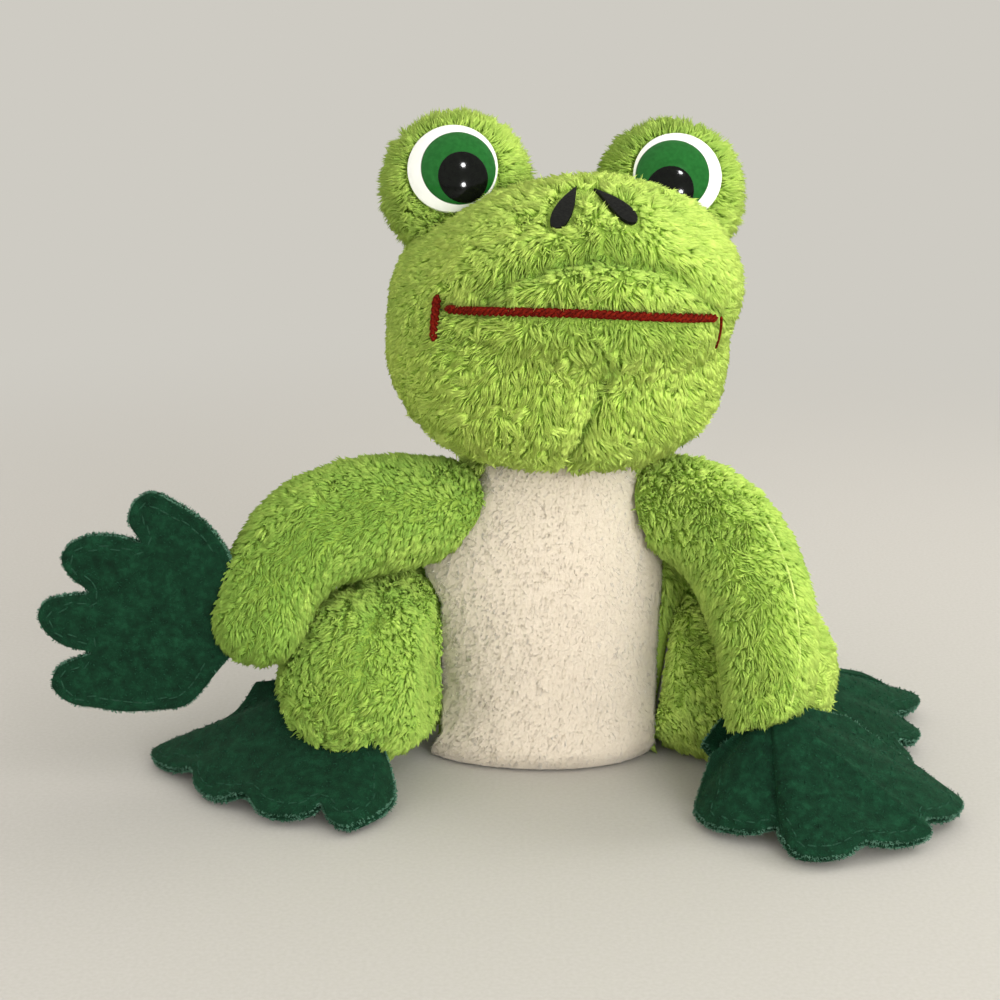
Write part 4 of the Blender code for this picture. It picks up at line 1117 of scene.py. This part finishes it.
def yarn(path, radius, strands, pitch, seed, sides=9):
    """Strands wound round a path: each one's middle circles the path once a pitch, at half the
    yarn's radius, and its own round section is drawn out to a point at both ends."""
    station = stations_of(path)
    count = int(station[-1] / 0.00022)
    at = np.linspace(0.0, station[-1], count)
    line = along_line(at, station, path)
    along = unit(np.gradient(line, axis=0))
    outward = unit(line - head_centre)
    side = unit(np.cross(along, outward))
    outward = np.cross(side, along)
    taper = np.clip(np.minimum(at, at[-1] - at) / (1.2 * radius), 0.12, 1.0) ** 0.5
    wobble = 1 + 0.12 * soft_noise(line, 0.0016, seed)
    points, faces, done = [], [], 0
    own = radius * (0.54 if strands > 1 else 1.0)
    for strand in range(strands):
        turn = 2 * math.pi * (at / pitch + strand / strands)
        off = (radius - own) * taper
        middle = line + (off * np.cos(turn))[:, None] * side + (off * np.sin(turn))[:, None] * outward
        round_turn = all_round(sides)[:, None]
        ring = np.cos(round_turn) * side[:, None] + np.sin(round_turn) * -outward[:, None]
        rings = middle[:, None] + (own * taper * wobble)[:, None, None] * ring
        points.append(listed(rings, middle[0], middle[-1]))
        faces.append(grid_triangles(count, sides, start=True, end=True) + done)
        done += len(points[-1])
    return np.vstack(points), np.vstack(faces)


lift = 0.0016
turns = mouth_centre + np.linspace(-1.0, 1.0, 240) * mouth_half
line = head_surface(mouth_rise(turns), turns, lift=lift)
piece(
    "mouth_yarn", *yarn(line, 0.0010, 3, 0.0042, 31), yarn_red, "head", "red_thread", "mouth_thread"
)
for side, (low, high), radius, strands in (
    (right, (-0.0068, 0.0026), 0.0010, 3), (left, (-0.0060, 0.0002), 0.0003, 1),
):
    turn = mouth_centre + side * (mouth_half + {right: 3.8, left: 1.6}[side])
    turn = turn + {right: 0.0, left: 5.5}[side] * np.linspace(1.0, 0.0, 60)
    rise = mouth_rise(turn) + np.degrees(np.linspace(low, high, 60) / head_radii[0])
    points, faces = yarn(head_surface(rise, turn, lift=lift), radius, strands, 0.0040, 33)
    name = f"{side_names[side]}_mouth_stitch"
    piece(f"{name}_yarn", points, faces, yarn_red, "head", "red_thread", name)


# Arms: each a tube of green pile fabric, stuffed, sewn to the shoulder and closed over the root of the
# felt hand, round at the frog's right and flat at its left, where the seam along the arm shows.

arm_length, leg_length = 0.0600, 0.0300
arm_radius_shares = {
    right: (0.80, 0.97, 1.06, 1.01, 0.90, 0.80), left: (0.92, 0.98, 0.98, 0.94, 0.84, 0.76),
}
arm_path_shares = {
    right: (
        (-0.01, 0.0, 0.030), (-0.135, -0.050, 0.022), (-0.360, -0.140, 0.012),
        (-0.545, -0.215, -0.035), (-0.668, -0.290, -0.165), (-0.732, -0.360, -0.318),
    ),
    left: (
        (0.0, 0.0, 0.0), (0.070, -0.055, 0.015), (0.210, -0.220, -0.025),
        (0.310, -0.415, -0.180), (0.352, -0.545, -0.375), (0.358, -0.585, -0.575),
    ),
}


def limb_spine(root, path_shares, length, radius_shares, radius, **own):
    """A limb's centre line and radii, with how far along each station lies, from 0 to 1. A limb's own
    form may set the way its end points, how round the end is (cap), how much fuller the limb is below
    (sag) and above (crest) its middle, and how far its end keeps off the torso's seam (clear)."""
    path = root["point"] + np.array(path_shares) * length
    stations = stations_of(path)
    plain = {"end": unit(path[-1] - path[-2]), "cap": 1.0, "sag": 0.0, "crest": 0.0, "clear": 0.0056}
    return {
        **plain, **own, "root": root, "stations": stations / stations[-1], "path": path,
        "radii": np.array(radius_shares) * radius,
    }


limb_rows, end_bends = 56, np.radians((8.0, 16.0, 25.0, 34.0, 44.0, 54.0, 64.0, 74.0, 83.0))


def limb_rings(spine, turns, outset, shift=0.0):
    """Rings square to the limb's curved centre line, the first in the seam's plane and the last ones
    closing a half ball, kept off the seam's plane where the limb bends sharply."""
    share = np.linspace(0.0, 1.0, limb_rows)
    centres = curve_through(spine["stations"], spine["path"], share)
    sizes = curve_through(spine["stations"], spine["radii"], share) + outset
    ways = unit(np.gradient(centres, axis=0))
    turn_in = clipped((share - 0.8) / 0.2)[:, None]
    ways = unit(ways * (1 - turn_in) + spine["end"] * turn_in)
    last = sizes[-1]
    reach = last * spine["cap"]
    ends = spine["path"][-1] + reach * np.sin(end_bends)[:, None] * spine["end"]
    centres = np.vstack((centres, ends))
    sizes = np.concatenate((sizes, last * np.cos(end_bends)))
    ways = np.vstack((ways, np.broadcast_to(spine["end"], ends.shape)))
    upright, ahead = np.array((0.0, 0.0, 1.0)), np.array((0.0, -1.0, 0.0))
    reference = upright if abs(spine["end"] @ upright) < abs(spine["end"] @ ahead) else ahead
    first = unit(reference - (ways @ reference)[:, None] * ways)
    second = np.cross(ways, first)
    spread = np.cos(turns)[:, None] * first[:, None] + np.sin(turns)[:, None] * second[:, None]
    spread[..., 2] *= 1.0 + np.where(spread[..., 2] < 0.0, spine["sag"], spine["crest"])
    rings = (centres + shift * second)[:, None] + sizes[:, None, None] * spread
    normal = spine["root"]["normal"]
    seam = spine["root"]["point"] + 0.0003 * normal
    least = spine["clear"] * np.minimum(np.arange(len(rings)) / limb_rows, 1.0)[:, None]
    rings = rings + np.maximum(least - (rings - seam) @ normal, 0.0)[..., None] * normal
    short = np.maximum((rings[0] - seam) @ normal, 0.0)
    rings[0] = rings[0] - short[:, None] * normal
    pole = spine["path"][-1] + reach * spine["end"] + shift * second[-1]
    return rings, pole


def limb_nap(spine):
    """Pile brushed along the limb towards its end, and down over the round end."""
    line = curve_through(spine["stations"], spine["path"], np.linspace(0.0, 1.0, 40))
    ways = unit(np.gradient(line, axis=0))

    def nap(root, outward):
        return ways[np.argmin(square_gaps(root, line), axis=1)] + (0.0, 0.0, -0.35)

    return nap


def clear_of(other, sewn, seam=None):
    """Pile left out inside the torso, and shortened close to the seams and to another limb."""
    at = np.linspace(0.0, 1.0, 30)
    line, wide = (curve_through(other["stations"], other[word], at) for word in ("path", "radii"))

    def trim(root, outward):
        share = np.ones(len(root))
        if seam is not None:
            share = 1.0 - 0.75 * np.exp(-square_gaps(root, seam[::4]).min(axis=1) / 0.0009**2)
        off = (root - sewn["point"]) @ sewn["normal"]
        share = share * (clipped(off / 0.002) * 0.6 + 0.4)
        away = np.sqrt(square_gaps(root, line)) - wide
        share = np.where(away.min(axis=1) < 0.0004, np.minimum(share, 0.35), share)
        inside = np.hypot((root[:, 0] - neck_shift * 0.4) / torso_half_width, root[:, 1] / torso_half_depth)
        hidden = (inside < 0.88) & (root[:, 2] < 0.040)
        return np.where((root[:, 2] < 0.0) | hidden, 0.0, share)

    return trim


def limb_stuffing(name, spine, columns=64):
    """The lump of wadding in a limb."""
    rings, pole = limb_rings(spine, all_round(columns), -wadding_inset)
    points = listed(rings, rings[0].mean(axis=0), pole)
    stuffing(name, points, grid_triangles(len(rings), columns, start=True, end=True), name)


flat_wrist = {"cap": 0.25, "end": unit(np.array((0.36, -0.19, -0.92)))}
arm_spines = {
    side: limb_spine(
        shoulders[side], arm_path_shares[side], arm_length, arm_radius_shares[side], arm_radius, **own
    )
    for side, own in ((right, {}), (left, flat_wrist))
}
leg_radius_shares = (0.98, 1.00, 1.02, 1.00)
leg_path_shares = {
    right: ((0.0, 0.0, 0.0), (-0.18, -0.06, 0.01), (-0.45, -0.42, 0.02), (-0.61, -0.81, 0.02)),
    left: ((0.0, 0.0, 0.0), (0.18, -0.06, 0.0), (0.46, -0.27, 0.0), (0.72, -0.485, 0.0)),
}
leg_spines = {
    side: limb_spine(
        hips[side], leg_path_shares[side], leg_length, leg_radius_shares, leg_radius, **own
    )
    for side, own in ((right, {"crest": 0.16}), (left, {"sag": 0.34, "clear": 0.0018}))
}

seam_turns = np.radians(np.linspace(-66.0, -26.0, limb_rows))
seam_rows = np.arange(24, limb_rows)
rings, pole = limb_rings(arm_spines[left], seam_turns, 0.0003)
seam_lines = {left: rings[seam_rows, seam_rows]}
seam_thread = grained(
    "seam_thread", colour(178, 200, 98), colour(206, 222, 132), 2200.0, 0.8, Specular_IOR_Level=0.2
)
thread = seam_lines[left] + 0.0005 * unit(seam_lines[left] - arm_spines[left]["path"][3])
piece(
    "left_arm_seam", *yarn(thread, 0.00030, 1, 0.003, 47, sides=6), seam_thread, "left_arm",
    "plush_green",
)


def arm_painted_shade(side):
    """Painted shade: both arms' pile is painted deeper, the right arm more as it lies in shade, and deeper
    still towards its hand.
    """

    def shade(root):
        lower = np.clip(11.0 * (root[:, 2] - 0.055), -0.4, 0.0)
        return 0.14 * side - 0.20 + (lower if side == right else 0.0)

    return shade


arm_columns, arm_pile_height = 96, 0.0024
for side in (right, left):
    name = f"{side_names[side]}_arm"
    spine = arm_spines[side]
    turns = all_round(arm_columns)
    sheets = [listed(*limb_rings(spine, turns, -inset)) for inset in (0.0, backing_thickness)]
    faces = grid_triangles(limb_rows + len(end_bends), arm_columns, end=True)
    arm = stuffed(name, sheets, faces, name)
    limb_stuffing(name, spine)
    pile(
        f"{name}_pile", arm, name, 4.2e6, arm_pile_height, limb_nap(spine), 18 + side,
        shade=arm_painted_shade(side),
        trim=clear_of(leg_spines[side], spine["root"], seam_lines.get(side)),
    )


# Legs: short thick tubes, each of an outer and an inner panel of green pile fabric that meet along the
# top and the bottom of the leg, stuffed, and sewn to the hip. A tuck is sewn down the knee.


def from_tuck(spine, side):
    """Distance of points from the tuck's plane, which is upright, and how far round the knee they are."""
    across = unit(np.cross(spine["end"], (0.0, 0.0, side)))

    def measure(points):
        away = points - spine["path"][-1]
        tilt = 0.0080 - 0.10 * away[..., 2]
        return away @ across - tilt, clipped(away @ spine["end"] / 0.006 + 0.5)

    return measure


def on_tuck(distance, share):
    """How close to the tuck's line a root stands, from 0 to 1."""
    return share * bell(distance / 0.0008)


def tuck_trim(spine, side, other):
    """Short pile along the tuck."""
    measure, plain = from_tuck(spine, side), clear_of(other, spine["root"])

    def trim(root, outward):
        return plain(root, outward) * (1.0 - 0.4 * on_tuck(*measure(root)))

    return trim


def tuck_nap(spine, side):
    """Pile brushed along the leg and parted at the tuck."""
    measure, plain = from_tuck(spine, side), limb_nap(spine)
    across = unit(np.cross(spine["end"], (0.0, 0.0, side)))

    def nap(root, outward):
        distance, share = measure(root)
        part = 0.5 * share * np.sign(distance) * bell(distance / 0.003)
        return plain(root, outward) + part[:, None] * across

    return nap


panel_columns, leg_pile_height = 60, 0.0026
for side in (right, left):
    name = f"{side_names[side]}_leg"
    spine = leg_spines[side]
    measure = from_tuck(spine, side)
    for part, panel in ((side, "outer"), (-side, "inner")):
        turns = (np.linspace(0.0, math.pi, panel_columns) * part)[::part]
        sheets = []
        for inset in (0.0, backing_thickness):
            rings, pole = limb_rings(spine, turns, -inset, part * 0.00004)
            distance, share = measure(rings)
            middle = spine["path"][-1] - 0.004 * spine["end"]
            rings = rings - (share * seam_groove(distance, 0.0005, 0.0012))[..., None] * unit(rings - middle)
            sheets.append(listed(rings, pole))
        faces = grid_triangles(limb_rows + len(end_bends), panel_columns, around=False, end=True)
        leg = stuffed(f"{name}_{panel}", sheets, faces, name)
        # Painted light and shade: the left leg's pile is painted lighter and the right leg's deeper, with
        # painted shade along the tuck
        pile(
            f"{name}_{panel}_pile", leg, name, 4.0e6, leg_pile_height, tuck_nap(spine, side),
            22 + 3 * side + part, trim=tuck_trim(spine, side, arm_spines[side]),
            shade=lambda root: 0.2 * side - 0.06 - 0.5 * on_tuck(*measure(root)),
        )
    limb_stuffing(name, spine)


# Hands and feet: each of two layers of dark green felt cut as a four-fingered fan, stitched together a
# little inside the edge and caught in the end of the limb. The edges are raw and slightly parted.

felt_green, tree, shader = finish_of(
    "green_felt", colour(12, 46, 28), 0.95, Sheen_Weight=0.20, Sheen_Roughness=0.5,
    Specular_IOR_Level=0.1,
)
shader.inputs["Sheen Tint"].default_value = (*colour(90, 150, 110), 1.0)
place = wired(tree, "ShaderNodeTexCoord", (-1100, 0)).outputs["Object"]
cloud = wired(
    tree, "ShaderNodeTexNoise", (-900, 200), vector=place, scale=420.0, detail=8.0, roughness=0.7
).outputs["Fac"]
fibre = wired(
    tree, "ShaderNodeTexNoise", (-900, -200), vector=place, scale=2600.0, detail=3.0
).outputs["Fac"]
shade = ramp(
    tree, (-600, 200), cloud, (0.34, colour(7, 32, 19)), (0.52, colour(12, 47, 29)),
    (0.7, colour(22, 66, 43)),
)
tree.links.new(shade, shader.inputs["Base Color"])
bump = wired(tree, "ShaderNodeBump", (-250, -200), strength=0.7, distance=0.0003, height=fibre)
tree.links.new(bump.outputs["Normal"], shader.inputs["Normal"])
felt_fibre = pile_finish(
    "felt_fibre", colour(12, 44, 28), colour(18, 56, 36), colour(16, 52, 34), colour(34, 84, 60)
)
felt_edge = pile_finish(
    "felt_edge", colour(20, 60, 40), colour(50, 96, 74), colour(30, 76, 52), colour(112, 156, 132)
)
felt_thread = grained(
    "felt_thread", colour(16, 52, 34), colour(30, 76, 54), 2200.0, 0.8, Specular_IOR_Level=0.2
)

hand_outline_shares = {
    right: (
        (-0.15, 0.00, 0.34), (-0.23, 0.00, 0.45), (-0.34, 0.00, 0.53), (-0.47, 0.00, 0.585),
        (-0.54, 0.00, 0.53), (-0.56, 0.00, 0.45), (-0.51, 0.00, 0.36), (-0.61, 0.00, 0.385),
        (-0.77, 0.00, 0.38), (-0.84, 0.00, 0.34), (-0.865, 0.00, 0.29), (-0.83, 0.00, 0.20),
        (-0.755, 0.00, 0.125), (-0.86, 0.00, 0.11), (-0.96, 0.00, 0.08), (-0.99, 0.00, 0.025),
        (-0.96, 0.00, -0.055), (-0.88, 0.00, -0.12), (-0.76, 0.00, -0.155), (-0.835, 0.00, -0.185),
        (-0.92, 0.00, -0.23), (-0.95, 0.00, -0.31), (-0.90, 0.00, -0.38), (-0.74, 0.00, -0.42),
        (-0.48, 0.00, -0.43), (-0.36, 0.00, -0.41), (-0.27, 0.00, -0.33), (-0.22, 0.00, -0.25),
    ),
    left: (
        (0.38, 0.16, -0.14), (0.68, 0.10, -0.34), (0.82, 0.02, -0.42), (0.86, -0.04, -0.44),
        (0.84, -0.12, -0.44), (0.74, -0.24, -0.43), (0.63, -0.32, -0.41), (0.65, -0.37, -0.43),
        (0.56, -0.42, -0.45), (0.43, -0.47, -0.44), (0.34, -0.49, -0.42), (0.27, -0.53, -0.45),
        (0.16, -0.56, -0.46), (0.05, -0.52, -0.46), (0.01, -0.44, -0.44), (-0.01, -0.34, -0.42),
        (-0.08, -0.35, -0.44), (-0.20, -0.31, -0.45), (-0.29, -0.22, -0.46), (-0.32, -0.12, -0.46),
        (-0.30, 0.00, -0.45), (-0.27, 0.05, -0.38), (-0.24, 0.06, -0.28),
    ),
}
foot_outline_shares = {
    right: (
        (-0.44, 0.18, -0.09), (-0.55, 0.20, -0.22), (-0.68, 0.21, -0.30), (-0.80, 0.19, -0.34),
        (-0.87, 0.13, -0.35), (-0.85, 0.04, -0.35), (-0.76, -0.06, -0.34), (-0.66, -0.14, -0.32),
        (-0.64, -0.22, -0.34), (-0.58, -0.30, -0.35), (-0.50, -0.35, -0.34), (-0.42, -0.38, -0.32),
        (-0.36, -0.46, -0.34), (-0.26, -0.50, -0.35), (-0.16, -0.49, -0.34), (-0.12, -0.47, -0.32),
        (-0.09, -0.53, -0.34), (-0.02, -0.58, -0.35), (0.05, -0.53, -0.35), (0.12, -0.44, -0.35),
        (0.15, -0.35, -0.34), (0.14, -0.27, -0.29), (0.11, -0.23, -0.21),
    ),
    left: (
        (0.33, 0.28, -0.12), (0.60, 0.46, -0.25), (0.73, 0.55, -0.33), (0.79, 0.54, -0.34),
        (0.79, 0.46, -0.34), (0.72, 0.34, -0.33), (0.64, 0.25, -0.31), (0.68, 0.20, -0.33),
        (0.71, 0.11, -0.34), (0.67, 0.02, -0.34), (0.58, -0.05, -0.31), (0.62, -0.14, -0.34),
        (0.60, -0.23, -0.34), (0.51, -0.29, -0.33), (0.40, -0.31, -0.31), (0.32, -0.41, -0.33),
        (0.20, -0.46, -0.34), (0.08, -0.47, -0.34), (-0.04, -0.44, -0.31), (-0.15, -0.40, -0.27),
        (-0.24, -0.33, -0.19),
    ),
}


def felt_outline(shares, length):
    """The fan's outline: a smooth curve through its points, with a corner every 0.6 mm."""
    points = np.array(shares) * length
    station = stations_of(points)
    at = np.linspace(0.0, station[-1] * 0.9999, int(station[-1] / 0.0006))
    line = curve_through(station, points, at)
    for _ in range(2):
        line[1:-1] = 0.25 * line[:-2] + 0.5 * line[1:-1] + 0.25 * line[2:]
    return line


felt_thickness, felt_parting = 0.0012, 0.00015
stitch_inset, stitch_step = 0.0025, 0.0026
felt_rows = np.concatenate((np.linspace(0.0, 0.94, 15), (0.965, 0.985, 1.0)))


def felt_fan(spine, outline):
    """Rows of the fan's middle surface, on straight lines from an arc round the limb's end."""
    middle = unit(outline.mean(axis=0))
    width = unit(within(outline[-1] - outline[0], middle))
    angles = np.sort(np.arctan2(outline @ width, outline @ middle))
    toward = np.cos(angles)[:, None] * middle + np.sin(angles)[:, None] * width
    along = (toward @ spine["end"])[:, None]
    bulge = np.sqrt(1 - along**2 + (np.maximum(along, 0.0) / spine["cap"]) ** 2)
    root = 0.93 * toward * (spine["radii"][-1] + 0.0004) / bulge
    share = felt_rows[:, None, None]
    return spine["path"][-1] + root + (outline - root) * share, middle, width


def stitches(centres, ways, outward):
    """Short stitches lying on the felt: stretched round beads, half sunk in it."""
    rows, sides = 6, 7
    bend = np.radians(np.linspace(-80.0, 80.0, rows))
    bend, turn = np.meshgrid(bend, all_round(sides), indexing="ij")
    along = 0.00105 * np.sin(bend)
    wide = 0.00019 * np.cos(bend) ** 0.5
    over = unit(np.cross(outward, ways))
    rings = (
        centres[:, None, None]
        + along[..., None] * ways[:, None, None]
        + (wide * np.cos(turn))[..., None] * over[:, None, None]
        + (wide * np.sin(turn))[..., None] * outward[:, None, None]
    )
    count = len(centres)
    ends = centres[:, None] + 0.00112 * np.array((-1.0, 1.0))[:, None] * ways[:, None]
    points = np.concatenate((rings.reshape(count, -1, 3), ends), axis=1)
    one = grid_triangles(rows, sides, start=True, end=True)
    faces = one + (np.arange(count) * points.shape[1])[:, None, None]
    return points.reshape(-1, 3), faces.reshape(-1, 3)


def stitch_spots(flat, centre):
    """Evenly spaced places on a line a little inside a felt's cut edge, which runs round the centre, on
    the flat felt. The line is left out where it would come too close to a notch."""
    way = unit(np.gradient(flat, axis=0))
    inward = np.stack((-way[:, 1], way[:, 0]), axis=-1)
    inward = inward * np.sign((inward * (centre - flat)).sum(axis=-1)).sum().clip(-1, 1)
    inset = flat + stitch_inset * inward
    line = inset[np.sqrt(square_gaps(inset, flat)).min(axis=1) > stitch_inset - 0.00015]
    station = stations_of(line)
    at = np.arange(0.0015, station[-1], stitch_step)
    jump = np.interp(at, station[1:], np.linalg.norm(np.diff(line, axis=0), axis=1)) > 0.002
    return along_line(at, station, line)[~jump]


def felt_limb(name, spine, shares, length, seed, curl):
    """Two felt layers, their stitching and their loose fibres. The layers of a hand that is sewn under a
    flat wrist ride on no body, with their placement baked into their meshes."""
    made, bent = [], spine["cap"] < 1.0
    carrier = None if bent else name
    fan, middle, width = felt_fan(spine, felt_outline(shares, length))
    across = fan[1:, 1:] - fan[:-1, :-1]
    other = fan[1:, :-1] - fan[:-1, 1:]
    normal = unit(np.cross(across, other).sum(axis=(0, 1)))
    up = 1.0 if normal @ np.array((0.0, -1.0, 1.0)) > 0.0 else -1.0
    rows, columns = fan.shape[:2]
    faces = grid_triangles(rows, columns, around=False)
    share = felt_rows[:, None]
    wave = curl * soft_noise(fan.reshape(-1, 3), 0.011, seed).reshape(rows, columns) * share**2
    part = 0.00035 * (1 + soft_noise(fan.reshape(-1, 3), 0.006, seed + 1).reshape(rows, columns))
    part = part * clipped((share - 0.85) / 0.15) ** 2
    rounding = np.interp(share, (0.0, 0.94, 0.965, 0.985, 1.0), (1.0, 1.0, 0.97, 0.86, 0.62))
    sheets = {}

    def outside(root, outward):
        """No loose fibres inside the limb's end."""
        return 1.0 * (np.linalg.norm(root - spine["path"][-1], axis=1) > 1.02 * spine["radii"][-1])

    for layer, side in (("upper", up), ("lower", -up)):
        near, far = (
            fan + (wave + side * (part * 0.6 + offset))[..., None] * normal
            for offset in (felt_parting, felt_parting + felt_thickness * rounding)
        )
        for one in (near, far):
            one[..., 2] = np.maximum(one[..., 2], 0.0002)
        turned_faces = faces if side > 0.0 else faces[:, ::-1]
        points, closed_faces = shell(listed(far), listed(near), turned_faces)
        stem = f"{name}_{layer}"
        item = piece(
            f"{stem}_layer", points, closed_faces, felt_green, carrier, "green_felt", f"{stem}_felt", 55.0
        )
        sheets[layer] = far
        made.append(item)
        rim = closed_faces[2 * len(faces):]
        for word, chosen, finish, per_area, lean, fuzz, own_seed in (
            ("fibres", closed_faces, felt_fibre, 0.8e6, 1.6, 0.5, 60),
            ("edge_fibres", rim, felt_edge, 1.0e7, 1.0, 0.6, 62),
        ):
            made.append(pile(
                f"{stem}_{word}", (points, chosen), carrier, per_area, 0.0007,
                lambda root, outward: 0.0 * root, seed + own_seed + (side < 0), trim=outside,
                finish=finish, slot="green_felt", width=0.00010, tuft=0.0009, lean=lean, pull=0.3,
                fuzz=fuzz, swirl=1.6,
            ))

    def laid_flat(points):
        """Where points lie on the flat felt."""
        return np.stack(((points - fan[-1, 0]) @ middle, (points - fan[-1, 0]) @ width), axis=-1)

    spots = stitch_spots(laid_flat(fan[-1]), laid_flat(fan[0]).mean(axis=0))
    for layer, side in (("upper", up), ("lower", -up)):
        sheet_points = sheets[layer].reshape(-1, 3)
        nearest = np.argmin(square_gaps(spots, laid_flat(sheet_points)), axis=1)
        centres = sheet_points[nearest]
        outward = np.broadcast_to(side * normal, centres.shape)
        ways = unit(within(unit(np.gradient(centres, axis=0) + 1e-9), outward))
        points, faces = stitches(centres, ways, outward)
        points[:, 2] = np.maximum(points[:, 2], 0.0001)
        made.append(piece(f"{name}_{layer}_stitching", points, faces, felt_thread, carrier, "green_felt"))
    if bent:
        for item in made:
            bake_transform(item)


for side in (right, left):
    word = side_names[side]
    felt_limb(f"{word}_hand", arm_spines[side], hand_outline_shares[side], 0.0500, 70 + side, 0.0006)
    felt_limb(f"{word}_foot", leg_spines[side], foot_outline_shares[side], 0.0576, 80 + side, 0.0014)
